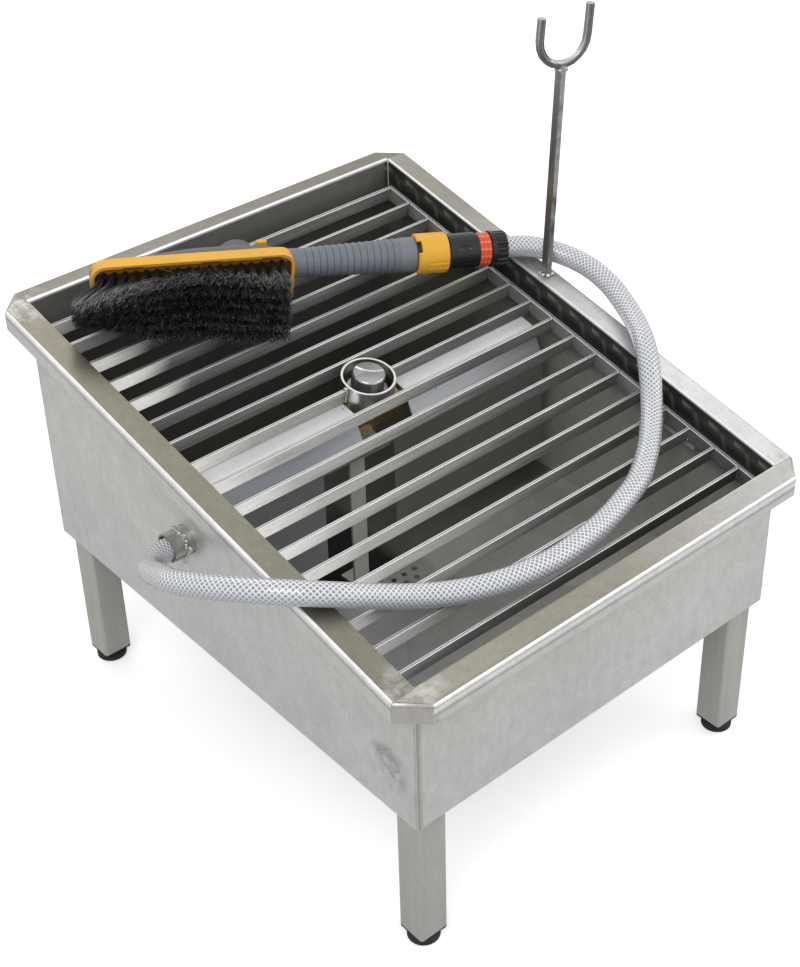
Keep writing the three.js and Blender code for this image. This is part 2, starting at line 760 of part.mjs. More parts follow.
// Bracket: a plate under the valve, a leg at its front and a foot on the pan
function valveBracket() {
  const bracketLeft = valveCentre.x - bracketLeftReach;
  const bracketFront = valveCentre.y - bracketFrontReach;
  const legRight = bracketLeft + bracketLegWidth;
  const footBack = bracketFront + bracketFootLength;
  const footBottom = Math.max(panTopAt(bracketLeft, bracketFront), panTopAt(bracketLeft, footBack)) + weldGap;
  const plate = block(bracketLeft, bracketLeft + bracketWidth, bracketFront, bracketFront + bracketReach,
    plateTop - bracketSheet, plateTop);
  const leg = block(bracketLeft, legRight, bracketFront, bracketFront + bracketSheet, footBottom, plateTop);
  const foot = block(bracketLeft, legRight, bracketFront, footBack, footBottom, footBottom + bracketSheet);
  return join([plate, leg, foot]);
}

add(stand, 'valve_bracket', valveBracket(), satinSteel);

// A quarter turn between two directions, starting at a point
class QuarterBend extends THREE.Curve {
  constructor(start, from, to, radius) {
    super();
    Object.assign(this, { start, from, to, radius });
  }

  getPoint(t, target = new THREE.Vector3()) {
    const angle = (t * Math.PI) / 2;
    return target.copy(this.start)
      .addScaledVector(this.from, this.radius * Math.sin(angle))
      .addScaledVector(this.to, this.radius * (1 - Math.cos(angle)));
  }
}

function circle(width, sides, bore) {
  const ringOf = (across) => Array.from({ length: sides }, (_, i) => {
    const angle = (2 * Math.PI * i) / sides;
    return new THREE.Vector2((across / 2) * Math.cos(angle), (across / 2) * Math.sin(angle));
  });
  const shape = new THREE.Shape(ringOf(width));
  if (bore > 0) {
    shape.holes.push(new THREE.Path(ringOf(bore)));
  }
  return shape;
}

function along(path, shape, steps) {
  return new THREE.ExtrudeGeometry(shape, { extrudePath: path, steps, bevelEnabled: false });
}

// Water supply: straight from the valve's right end out through the right wall
const supplyPipe = tubePiece(supplyWidth, supplyBore, supplyStartX, sideX + supplyProud, roundSides)
  .rotateY(Math.PI / 2)
  .translate(0, valveCentre.y, valveCentre.z);
add(stand, 'supply_pipe', supplyPipe, satinSteel);

// Pipe socket through the left wall
const mouthX = -sideX - socketProud;
const socket = tubePiece(socketOuter, socketBore, mouthX, tubSheet + socketInside - sideX, roundSides)
  .rotateY(Math.PI / 2)
  .translate(0, socketPlace, 0);
add(stand, 'hose_socket', socket.translate(0, 0, socketHeight), satinSteel);

// Hose inside the tub, from the valve's left end into the socket
function innerHose() {
  const start = new THREE.Vector3(valveCentre.x - valveLeftReach - weldGap, valveCentre.y, valveCentre.z);
  const first = start.clone();
  first.x -= hoseWidth;
  const last = new THREE.Vector3(tubSheet - sideX + hoseWidth, socketPlace, socketHeight);
  const pull = (first.x - last.x) / 2;
  const path = new THREE.CurvePath();
  path.add(new THREE.LineCurve3(start, first));
  path.add(new THREE.CubicBezierCurve3(
    first, new THREE.Vector3(first.x - pull, first.y, first.z),
    new THREE.Vector3(last.x + pull, last.y, last.z), last,
  ));
  path.add(new THREE.LineCurve3(last, new THREE.Vector3(mouthX + hoseInset + weldGap, last.y, last.z)));
  return along(path, circle(hoseWidth, hoseSides, 0), innerHoseSteps);
}

add(stand, 'hose_inner', innerHose(), hoseClear);

// Free hose: out of the socket, over the left rim, across the grate and round to the brush
const hoseRoute = [
  [-224.8, 36.8, 284.4], [-230.6, 36.7, 284.4], [-239.2, 34.9, 285.0], [-252.8, 27.8, 287.6], [-264.3, 16.0, 292.6],
  [-271.5, -0.6, 301.3], [-276.6, -17.5, 312.0], [-281.4, -34.5, 321.5], [-283.3, -51.8, 329.5],
  [-281.1, -68.0, 335.8], [-271.6, -98.4, 345.8], [-256.9, -126.8, 352.1], [-235.5, -151.3, 352.8],
  [-208.2, -168.7, 346.2], [-179.6, -179.6, 335.1], [-150.8, -189.5, 324.9], [-121.2, -202.5, 319.2],
  [-90.7, -214.8, 317.3], [-59.3, -222.4, 316.1], [-26.4, -225.7, 315.4], [6.8, -224.5, 316.1],
  [39.4, -219.9, 316.8], [71.3, -212.0, 318.3], [102.4, -201.3, 320.1], [130.9, -184.6, 323.3],
  [157.2, -164.8, 326.8], [181.0, -143.5, 334.4], [200.0, -122.1, 351.6], [217.9, -98.3, 363.2],
  [234.1, -72.2, 366.9], [247.0, -43.6, 371.6], [255.7, -13.1, 377.9], [256.5, 18.7, 384.2],
  [245.4, 48.8, 390.4], [223.0, 71.9, 396.2], [207.5, 79.2, 397.4], [194.0, 85.6, 398.7],
].map(([x, y, z]) => new THREE.Vector3(x, y, z));
const hosePath = new THREE.CatmullRomCurve3(hoseRoute, false, 'centripetal');
add(part, 'hose', along(hosePath, circle(hoseWidth, hoseSides, 0), hoseSteps), hoseClear);

// Brush holder: a leaning square rod with a fork of round bar
function hook() {
  const base = new THREE.Vector3(sideX + hookOutset, hookPlace, rimHeightAt(hookPlace));
  const lean = new THREE.Vector3(hookLeanX, hookLeanY, hookHeight);
  const top = base.clone().add(lean);
  const half = hookSide / 2;
  const edge = half - hookChamfer;
  const outline = [
    [half, -edge], [half, edge], [edge, half], [-edge, half],
    [-half, edge], [-half, -edge], [-edge, -half], [edge, -half],
  ];
  const turn = new THREE.Quaternion().setFromUnitVectors(new THREE.Vector3(0, 0, 1), lean.clone().normalize());
  const rod = pushed(outline, lean.length() + overrun).translate(0, 0, -overrun)
    .applyQuaternion(turn).translate(base.x, base.y, base.z);
  const under = block(0, base.x + overrun, 0, slopeLength, -overrun - overrun, weldGap)
    .applyMatrix4(slopeMatrix);
  const radius = forkSpan / 2;
  const [left, down, right] = [[-radius, 0, radius], [0, 0, 0], [radius, 0, radius]]
    .map(([x, y, z]) => new THREE.Vector3(x, y, z));
  const up = new THREE.Vector3(0, 0, 1);
  const across = new THREE.Vector3(1, 0, 0);
  const path = new THREE.CurvePath();
  path.add(new THREE.LineCurve3(left.clone().addScaledVector(up, forkLeftArm), left));
  path.add(new QuarterBend(left, up.clone().negate(), across, radius));
  path.add(new QuarterBend(down, across, up, radius));
  path.add(new THREE.LineCurve3(right, right.clone().addScaledVector(up, forkRightArm)));
  const fork = along(path, circle(hookSide, smallSides, 0), forkSteps)
    .rotateY(THREE.MathUtils.degToRad(forkLeanDegrees))
    .rotateZ(THREE.MathUtils.degToRad(forkTurnDegrees))
    .translate(top.x, top.y, top.z);
  return join([cut(rod, [under]), fork]);
}

add(stand, 'brush_hook', hook(), satinSteel);

// Brush frame of reference: +X along the handle, -Y the way the bristles point
const brush = new THREE.Group();
brush.position.set(brushPlaceX, brushPlaceY, barTop + weldGap + headWidth / 2);
brush.rotation.z = THREE.MathUtils.degToRad(brushTurnDegrees);
slopeFrame.add(brush);
const headMiddle = headEnd - headLength / 2;
const headBack = headFace + headDepth;
const trayFloor = headFace + headRecess;
const turnedAlongX = (profile, sides) => turned(profile, sides).rotateY(Math.PI / 2);

// Head frame: a shallow tray with a rim and slots along both sides of its floor
function headPlate(inset, depth, back) {
  const outline = roundedSquare(headLength - 2 * inset, headWidth - 2 * inset, headCorner - inset);
  const plate = new THREE.ExtrudeGeometry(outline, { depth, bevelEnabled: false, curveSegments: bendSteps });
  return plate.translate(headMiddle, 0, 0).rotateX(Math.PI / 2).translate(0, back, 0);
}

function headFrame() {
  const tools = [headPlate(headWall, headRecess + overrun, trayFloor)];
  for (const share of slotPlaceShares) {
    for (const side of [-1, 1]) {
      const x = headEnd - headLength * (1 - share);
      const z = side * (headWidth / 2 - headWall - slotWidth);
      tools.push(block(x - slotLength / 2, x + slotLength / 2, headFace, headBack + overrun,
        z - slotWidth / 2, z + slotWidth / 2));
    }
  }
  return cut(headPlate(0, headDepth, headBack), tools);
}

add(brush, 'brush_frame', headFrame(), yellowPlastic);

// Bristles: rows of tufts on a thin backing, fanned out and leaning to the free end
function uneven(number) {
  const wave = Math.sin(number * unevenStep) * unevenScale;
  return wave - Math.floor(wave) - middleShare;
}

function reachAt(share) {
  const next = tipShares.findIndex(([at]) => at >= share);
  const [[at0, low0, high0], [at1, low1, high1]] = [tipShares[next - 1], tipShares[next]];
  const mix = (share - at0) / (at1 - at0);
  return [low0 + (low1 - low0) * mix, high0 + (high1 - high0) * mix];
}

function strand(base, tip, turnAngle) {
  const ringAt = (centre, width) => Array.from({ length: 3 }, (_, i) => {
    const angle = turnAngle - (2 * Math.PI * i) / 3;
    return new THREE.Vector3(centre.x + (width / 2) * Math.cos(angle), centre.y,
      centre.z + (width / 2) * Math.sin(angle));
  });
  return lofted([ringAt(base, bristleWidth), ringAt(tip, bristleTip)]);
}

function bristles() {
  const inset = headWall + bristleMargin;
  const [left, right] = [headEnd - headLength + inset, headEnd - inset];
  const halfWide = headWidth / 2 - inset;
  const backingTop = trayFloor - weldGap;
  const backing = headPlate(headWall + bristleMargin / 2, bristleBacking, backingTop);
  const strands = [solid(backing)];
  for (let column = 0; column < tuftColumns; column += 1) {
    const columnShare = (column + middleShare) / tuftColumns;
    const lean = bristleLean + bristleSplay * (1 - columnShare) ** splayPower;
    const [low, high] = reachAt(columnShare);
    for (let row = 0; row < tuftRows; row += 1) {
      const rowShare = (row + middleShare) / tuftRows;
      for (let k = 0; k < strandsPerTuft; k += 1) {
        const number = (column * tuftRows + row) * strandsPerTuft + k;
        const angle = Math.PI / 4 + (k * 2 * Math.PI) / strandsPerTuft;
        const x = left + (right - left) * columnShare;
        const z = -halfWide + 2 * halfWide * rowShare;
        const base = new THREE.Vector3(x + bristleRoot * Math.cos(angle), backingTop - bristleBacking / 2,
          z + bristleRoot * Math.sin(angle));
        const rise = headWidth * (low + (high - low) * rowShare) - z;
        const reach = Math.sqrt(bristleLength ** 2 - lean ** 2 - rise ** 2);
        const tip = new THREE.Vector3(
          x - lean + bristleSpread * Math.cos(angle + uneven(number)),
          backingTop - reach + bristleRagged * uneven(number + 1),
          z + rise + bristleSpread * Math.sin(angle + uneven(number)),
        );
        strands.push(solid(strand(base, tip, angle)));
      }
    }
  }
  return geometryOf(wasm.Manifold.union(strands));
}

add(brush, 'bristles', bristles(), bristleBlack);

// Brush body: a back that rises from the free end to the neck of the handle
function brushBody() {
  const bottom = headBack + weldGap;
  const full = bodyRidge - bottom;
  const stations = bodyShares.map(([xShare, heightShare, widthShare]) => {
    const points = [];
    for (let i = 0; i <= smallSides; i += 1) {
      const angle = (Math.PI * i) / smallSides;
      const across = Math.sign(Math.cos(angle)) * Math.abs(Math.cos(angle)) ** bodySquareness;
      points.push(new THREE.Vector3(
        headEnd - bodyLength * (1 - xShare),
        bottom + full * heightShare * Math.sin(angle) ** bodySquareness,
        -bodyEdge * widthShare * across,
      ));
    }
    return points;
  });
  const bossAt = (geometry, x) => geometry.rotateX(-Math.PI / 2).translate(x, 0, 0);
  const boss = bossAt(disc(knobWidth + bossMargin, bottom + bossMargin, knobBase - weldGap, roundSides), knobPlace);
  const dome = bossAt(turned([
    [0, bottom + bossMargin], [smallKnobWidth / 2, bottom + bossMargin],
    [smallKnobWidth / 2, smallKnobTop - smallKnobDome],
    [smallKnobWidth * smallKnobFlatShare, smallKnobTop - smallKnobDome / 4], [0, smallKnobTop],
  ], roundSides), smallKnobPlace);
  return join([lofted(stations), boss, dome]);
}

add(brush, 'brush_body', brushBody(), greyPlastic);

const knobProfile = [[0, knobBase], [knobWidth / 2, knobBase]];
for (let i = bendSteps; i >= 0; i -= 1) {
  const share = i / bendSteps;
  knobProfile.push([(knobWidth / 2) * share, knobTop - knobDome * share * share]);
}
add(brush, 'brush_knob', turned(knobProfile, roundSides).rotateX(-Math.PI / 2).translate(knobPlace, 0, 0), greyPlastic);
add(brush, 'brush_latch', block(latchPlace - latchLength, latchPlace, bodyRidge + weldGap,
  bodyRidge + latchHeight, -latchWidth / 2, latchWidth / 2), yellowPlastic);

const handleStart = headEnd + weldGap;

// Handle: a ribbed grip on one axis, with the core that carries the sleeve
function handle() {
  const gripStart = handleStart + handleNeck / 2;
  const gripEnd = handleEnd - handleWidth / 2;
  const ribPitch = (gripEnd - gripStart) / ribCount;
  const profile = [[0, handleStart], [handleNeck / 2, handleStart]];
  for (let i = 0; i <= ribCount; i += 1) {
    const x = gripStart + i * ribPitch;
    const radius = (handleNeck + (handleWidth - handleNeck) * (i / ribCount)) / 2;
    profile.push([radius - ribHeight, x], [radius, x + ribPitch * ribShare]);
  }
  profile.push([handleWidth / 2, handleEnd], [tubeWidth / 2, handleEnd],
    [tubeWidth / 2, handleEnd + sleeveLength + 2 * weldGap], [0, handleEnd + sleeveLength + 2 * weldGap]);
  return turnedAlongX(profile, gripSides);
}

add(brush, 'brush_handle', handle(), greyPlastic);

// Turning sleeve: notched at its handle end, grooved at the other
const sleeveStart = handleEnd + weldGap;
const sleeveEnd = sleeveStart + sleeveLength;

function sleeve() {
  const [outer, bore] = [sleeveWidth / 2, tubeWidth / 2 + weldGap];
  const body = turnedAlongX([
    [bore, sleeveStart], [outer - sleeveBevel, sleeveStart], [outer, sleeveStart + sleeveBevel],
    [outer, sleeveEnd - sleeveBevel], [outer - sleeveBevel, sleeveEnd], [bore, sleeveEnd], [bore, sleeveStart],
  ], ringSides);
  const tools = [];
  for (let i = 0; i < sleeveNotches; i += 1) {
    const turn = (2 * Math.PI * i) / sleeveNotches;
    const notch = block(sleeveStart - overrun, sleeveStart + sleeveNotch, bore - overrun / 2, outer + overrun,
      -sleeveNotchWidth / 2, sleeveNotchWidth / 2);
    tools.push(notch.rotateX(turn));
    for (const side of [-1, 1]) {
      const z = side * sleeveSlotWidth;
      const slot = block(sleeveEnd - sleeveSlotLength, sleeveEnd + overrun, outer - sleeveSlotDepth,
        outer + overrun, z - sleeveSlotWidth / 2, z + sleeveSlotWidth / 2);
      tools.push(slot.rotateX(turn + Math.PI / sleeveNotches));
    }
  }
  return cut(body, tools);
}

add(brush, 'brush_sleeve', sleeve(), yellowPlastic);

// Quick connector with finger dimples, its lock ring and the ribbed hose nut
const connectorStart = sleeveEnd + 2 * weldGap;
const connectorEnd = connectorStart + connectorLength;

function connector() {
  const radius = connectorWidth / 2;
  const body = turnedAlongX([
    [0, connectorStart], [radius - sleeveBevel, connectorStart], [radius, connectorStart + sleeveBevel],
    [radius, connectorEnd - connectorStep], [radius - sleeveBevel, connectorEnd - connectorStep],
    [radius - sleeveBevel, connectorEnd], [0, connectorEnd],
  ], ringSides);
  const dimples = [];
  for (let i = 0; i < connectorDimples; i += 1) {
    const ball = new THREE.SphereGeometry(1, smallSides, smallSides / 2)
      .scale(dimpleLength / 2, dimpleDepth, dimpleWidth / 2)
      .translate((connectorStart + connectorEnd) / 2, radius, 0);
    dimples.push(ball.rotateX((2 * Math.PI * (i + 0.5)) / connectorDimples));
  }
  return cut(body, dimples);
}

add(brush, 'hose_connector', connector(), blackPlastic);

const lockStart = connectorEnd + weldGap;
const lockEnd = lockStart + sealLength;
const lockProfile = [[0, lockStart]];
for (let i = 0; i < lockRings; i += 1) {
  const x = lockStart + (sealLength * i) / lockRings;
  const step = sealLength / lockRings;
  lockProfile.push([sealWidth / 2 - sealGroove, x], [sealWidth / 2, x + step / 3], [sealWidth / 2, x + step * (2 / 3)]);
}
lockProfile.push([sealWidth / 2 - sealGroove, lockEnd], [0, lockEnd]);
add(brush, 'lock_ring', turnedAlongX(lockProfile, roundSides), orangePlastic);

const nutStart = lockEnd + weldGap;
const nutEnd = nutStart + nutLength;

function hoseNut() {
  const outline = [];
  for (let i = 0; i < nutRibs; i += 1) {
    for (const [share, radius] of [
      [0, nutWidth / 2 - nutRibDepth], [nutRibShares[0], nutWidth / 2], [nutRibShares[1], nutWidth / 2],
      [nutRibShares[2], nutWidth / 2 - nutRibDepth],
    ]) {
      const angle = (2 * Math.PI * (i + share)) / nutRibs;
      outline.push([radius * Math.cos(angle), radius * Math.sin(angle)]);
    }
  }
  const ribbed = pushed(outline, nutLength - nutFlange).rotateY(Math.PI / 2).translate(nutStart + nutFlange, 0, 0);
  const flange = turnedAlongX([
    [0, nutStart], [nutWidth / 2 + nutRibDepth / 2, nutStart],
    [nutWidth / 2 + nutRibDepth / 2, nutStart + nutFlange + nutRibDepth], [0, nutStart + nutFlange + nutRibDepth],
  ], ringSides);
  const bore = disc(nutBore, nutEnd - nutDepth, nutEnd + overrun, roundSides).rotateY(Math.PI / 2);
  const lathe = turnedAlongX([
    [0, nutStart - overrun], [nutWidth, nutStart - overrun], [nutWidth, nutEnd - nutLength / 3],
    [nutWidth / 2 - nutRibDepth / 2, nutEnd], [0, nutEnd],
  ], ringSides);
  return cut(keepInside(join([ribbed, flange]), lathe), [bore]);
}

add(brush, 'hose_nut', hoseNut(), blackPlastic);

// The origin lies under the middle of everything but the free hose, on the floor
part.updateMatrixWorld(true);
const box = new THREE.Box3().setFromObject(stand, true);
const middle = box.getCenter(new THREE.Vector3());
part.position.set(-middle.x, -middle.y, 0);
part.updateMatrixWorld(true);

export default part;
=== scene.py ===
import math
import random

import bmesh
import bpy
from mathutils import Matrix, Vector, noise


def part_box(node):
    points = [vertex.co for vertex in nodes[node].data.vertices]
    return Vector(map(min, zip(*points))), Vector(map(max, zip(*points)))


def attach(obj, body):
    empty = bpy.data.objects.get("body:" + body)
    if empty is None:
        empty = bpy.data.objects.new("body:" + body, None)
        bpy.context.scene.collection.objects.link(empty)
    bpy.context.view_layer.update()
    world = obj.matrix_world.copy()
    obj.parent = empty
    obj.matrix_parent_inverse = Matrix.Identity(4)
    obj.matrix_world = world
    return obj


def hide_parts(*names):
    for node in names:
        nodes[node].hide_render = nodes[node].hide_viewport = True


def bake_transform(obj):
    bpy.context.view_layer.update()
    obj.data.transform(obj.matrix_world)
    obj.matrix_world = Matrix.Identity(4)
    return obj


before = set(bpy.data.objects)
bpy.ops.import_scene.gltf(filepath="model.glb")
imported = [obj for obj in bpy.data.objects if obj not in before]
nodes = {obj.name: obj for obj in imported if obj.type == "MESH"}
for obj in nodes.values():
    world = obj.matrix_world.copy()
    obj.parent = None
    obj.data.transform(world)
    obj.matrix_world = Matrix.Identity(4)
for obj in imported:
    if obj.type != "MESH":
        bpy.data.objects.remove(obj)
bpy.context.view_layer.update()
MM = 0.001

# The measures of part.mjs that the pieces and the materials go by
TILT = math.radians(11.36)
FRONT_Y, FRONT_RIM = -0.266, 0.316
TUB_X, TUB_Y = 0.212, 0.2645
LEFT_FACE = -0.2135
BAR_PITCH, BACK_BAR, FRONT_BAR = 0.03081, 0.523, 0.00854
SIDE_BAR_X, BAR_END_X = 0.2038, 0.2013
VALVE_X, VALVE_RISE = -0.00385, 0.3073
SOCKET_Y, SOCKET_Z = 0.0368, 0.2844

# The stand's frame lies SHIFT from the ground frame. Its axes run right, back and up.
drain_low, drain_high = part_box("drain_outlet")
SHIFT = Vector(((drain_low[0] + drain_high[0]) / 2, 0, 0))
ALONG, ACROSS, ABOVE = Vector((1, 0, 0)), Vector((0, 1, 0)), Vector((0, 0, 1))


def spot(x, y, z):
    """A place of the stand's frame, in the ground frame."""
    return SHIFT + Vector((x, y, z))


# The slope's frame starts at the front rim, and the brush's frame lies on the bars
RIM_START = spot(0, FRONT_Y, FRONT_RIM)
SLOPE = Matrix.Translation(RIM_START) @ Matrix.Rotation(TILT, 4, "X")
BRUSH = SLOPE @ Matrix.Translation((0.0172, 0.4457, 0.0118)) @ Matrix.Rotation(math.radians(-25.6), 4, "Z")
UP = (SLOPE.to_3x3() @ ABOVE).normalized()
RISE = (SLOPE.to_3x3() @ ACROSS).normalized()
BRUSH_X, BRUSH_Y, BRUSH_Z = ((BRUSH.to_3x3() @ axis).normalized() for axis in (ALONG, ACROSS, ABOVE))
BRUSH_PLACE = BRUSH.translation


def show(name, data):
    obj = bpy.data.objects.new(name, data)
    bpy.context.scene.collection.objects.link(obj)
    return obj


def make_camera():
    """The camera solved from the photo, turned by its right, up and back axes."""
    data = bpy.data.cameras.new("camera")
    data.lens = 67.16
    data.sensor_width = 36
    data.shift_x = -0.0872
    data.shift_y = -0.0696
    data.clip_start = 0.05
    data.clip_end = 50
    cam = show("camera", data)
    right = Vector((0.73515, -0.67790, 0.00374))
    up = Vector((0.38319, 0.42010, 0.82261))
    back = Vector((-0.55921, -0.60330, 0.56860))
    turn = Matrix((right, up, back)).transposed().to_4x4()
    cam.matrix_world = Matrix.Translation(spot(-0.86084, -1.04171, 1.26641)) @ turn
    bpy.context.scene.camera = cam


make_camera()


class Nodes:
    """Builds a node tree from nested calls, each of which returns an output socket."""

    def __init__(self, tree):
        self.tree = tree

    def feed(self, socket, value):
        if isinstance(value, bpy.types.NodeSocket):
            self.tree.links.new(value, socket)
        else:
            socket.default_value = value

    def node(self, kind, inputs=(), out=0, **settings):
        made = self.tree.nodes.new(kind)
        for key, value in settings.items():
            setattr(made, key, value)
        for key, value in dict(inputs).items():
            self.feed(made.inputs[key], value)
        return made.outputs[out]

    def math(self, operation, a, b=0.0, clamp=False):
        return self.node("ShaderNodeMath", {0: a, 1: b}, operation=operation, use_clamp=clamp)

    def plus(self, first, *rest):
        for other in rest:
            first = self.math("ADD", first, other)
        return first

    def minus(self, a, b):
        return self.math("SUBTRACT", a, b)

    def times(self, first, *rest):
        for other in rest:
            first = self.math("MULTIPLY", first, other)
        return first

    def most(self, a, b):
        return self.math("MAXIMUM", a, b)

    def size(self, value):
        return self.math("ABSOLUTE", value)

    def cycle(self, value):
        return self.math("FRACT", value)

    def vector(self, operation, a, b, out=0):
        return self.node("ShaderNodeVectorMath", {0: a, 1: b}, out, operation=operation)

    def span(self, value, low, high, to_low=0.0, to_high=1.0):
        """The value's way from low to high, as to_low to to_high."""
        return self.node("ShaderNodeMapRange", {"Value": value, "From Min": low, "From Max": high,
                                                "To Min": to_low, "To Max": to_high})

    def band(self, value, a, b, c, d):
        """1 from b to c, falling to 0 at a and at d."""
        return self.times(self.span(value, a, b), self.span(value, c, d, 1.0, 0.0))


class Shade(Nodes):
    """A material whose Principled shader is fed by nodes in the piece's own coordinates."""

    def __init__(self, name, **sockets):
        self.mat = bpy.data.materials.new(name)
        self.mat.use_nodes = True
        super().__init__(self.mat.node_tree)
        self.shader = self.tree.nodes["Principled BSDF"]
        self.here = self.node("ShaderNodeTexCoord", out="Object")
        for key, value in sockets.items():
            self.put(key, value)

    def put(self, socket, value):
        self.feed(self.shader.inputs[socket], value)

    def stretched(self, stretch):
        """The piece's own coordinates, scaled along each axis."""
        return self.node("ShaderNodeMapping", {"Vector": self.here, "Scale": stretch})

    def round_hose(self, stretch):
        """The hose's UV coordinates, round it and along it, scaled."""
        place = self.node("ShaderNodeTexCoord", out="UV")
        return self.node("ShaderNodeMapping", {"Vector": place, "Scale": stretch})

    def noise(self, place, scale, detail, rough):
        inputs = {"Vector": place, "Scale": scale, "Detail": detail, "Roughness": rough}
        return self.node("ShaderNodeTexNoise", inputs)

    def along(self, axis, origin):
        """Distance along an axis from an origin, in the piece's own coordinates."""
        run = self.vector("DOT_PRODUCT", self.here, tuple(axis), "Value")
        return self.minus(run, float(axis.dot(origin)))

    def facing(self, axis):
        """How far the surface faces along an axis, from -1 to 1."""
        normal = self.node("ShaderNodeNewGeometry", out="Normal")
        return self.vector("DOT_PRODUCT", normal, tuple(axis), "Value")

    def near(self, place, reach):
        """1 at a place, falling to 0 at reach metres from it."""
        gap = self.vector("DISTANCE", self.here, tuple(place), "Value")
        return self.span(gap, reach * 0.6, reach, 1.0, 0.0)

    def mix(self, share, a, b):
        # Inputs 6 and 7 and output 2 are the ones that this node has for colours
        made = self.tree.nodes.new("ShaderNodeMix")
        made.data_type = "RGBA"
        for place, value in ((0, share), (6, a), (7, b)):
            self.feed(made.inputs[place], (*value, 1) if isinstance(value, tuple) else value)
        return made.outputs[2]

    def shade(self, colour, share, tone=(0, 0, 0)):
        """The colour, turned to a tone by a share."""
        return self.mix(share, colour, tone)

    def bump(self, height, strength, distance, normal=None):
        inputs = {"Height": height, "Strength": strength, "Distance": distance}
        if normal is not None:
            inputs["Normal"] = normal
        return self.node("ShaderNodeBump", inputs)

    def tipped(self, axis, share):
        """The surface normal tipped towards an axis, as on a rolled face with rounded grain."""
        normal = self.node("ShaderNodeNewGeometry", out="Normal")
        lift = self.node("ShaderNodeVectorMath", {0: tuple(axis), "Scale": share}, operation="SCALE")
        both = self.vector("ADD", normal, lift)
        return self.node("ShaderNodeVectorMath", {0: both}, operation="NORMALIZE")

    def satin(self, colour, rough, grain=(1, 1, 1), speckle=0.10, scuff=0.2, normal=None):
        """A directional grain, soft mottling, small specks and faint wear over a colour."""
        fine = self.noise(self.stretched(tuple(900 * g for g in grain)), 1.0, 4, 0.6)
        cloud = self.noise(self.here, 9.0, 4, 0.6)
        grit = self.noise(self.here, 420.0, 3, 0.6)
        streak = self.noise(self.stretched(tuple(90 * g for g in grain)), 1.0, 3, 0.5)
        colour = self.shade(colour, self.span(cloud, 0.3, 0.7, 0.10, 0.0))
        colour = self.shade(colour, self.span(grit, 0.35, 0.65, speckle, 0.0))
        colour = self.shade(colour, self.span(streak, 0.35, 0.75, 0.0, 0.12))
        stain = self.span(self.noise(self.here, 22.0, 6, 0.7), 0.64, 0.80, 0.0, scuff)
        self.put("Base Color", self.shade(colour, stain, (0.20, 0.19, 0.17)))
        self.put("Roughness", self.span(fine, 0.2, 0.8, rough - 0.05, rough + 0.07))
        self.put("Normal", self.bump(fine, 0.25, 0.02 * MM, normal))
        return self.mat


def steel(name, tone, rough, grain=(1, 1, 1), speckle=0.10, scuff=0.2, metallic=1.0):
    """Plain steel or brass whose tone wanders to a slightly warmer one."""
    s = Shade(name, Metallic=metallic)
    warm = s.noise(s.here, 5.0, 2, 0.5)
    colour = s.mix(warm, tone, tuple(c * k for c, k in zip(tone, (1.0, 0.985, 0.95))))
    return s.satin(colour, rough, grain, speckle, scuff)


def plastic(name, tone, rough, speck=0.0, grain_depth=0.03 * MM, form=None):
    """Moulded plastic: a fine spark-eroded grain, uneven gloss and slight scuffing."""
    wear = 0.06
    s = Shade(name)
    fine = s.noise(s.here, 1400, 2, 0.5)
    cloud = s.noise(s.here, 35.0, 4, 0.6)
    scratch = s.noise(s.stretched((40, 400, 400)), 1.0, 3, 0.5)
    worn, fresh = tuple(c * (1 - wear) for c in tone), tuple(min(1, c * (1 + wear)) for c in tone)
    colour = s.mix(s.span(cloud, 0.3, 0.7), worn, fresh)
    if speck:
        pale = tuple(min(1, c * 1.5 + 0.05) for c in tone)
        colour = s.mix(s.span(scratch, 0.62, 0.72, 0.0, speck), colour, pale)
    if form:
        colour = form(s, colour)
    s.put("Base Color", colour)
    s.put("Roughness", s.span(cloud, 0.3, 0.7, rough - 0.06, rough + 0.08))
    s.put("Normal", s.bump(fine, 0.3, grain_depth))
    return s.mat


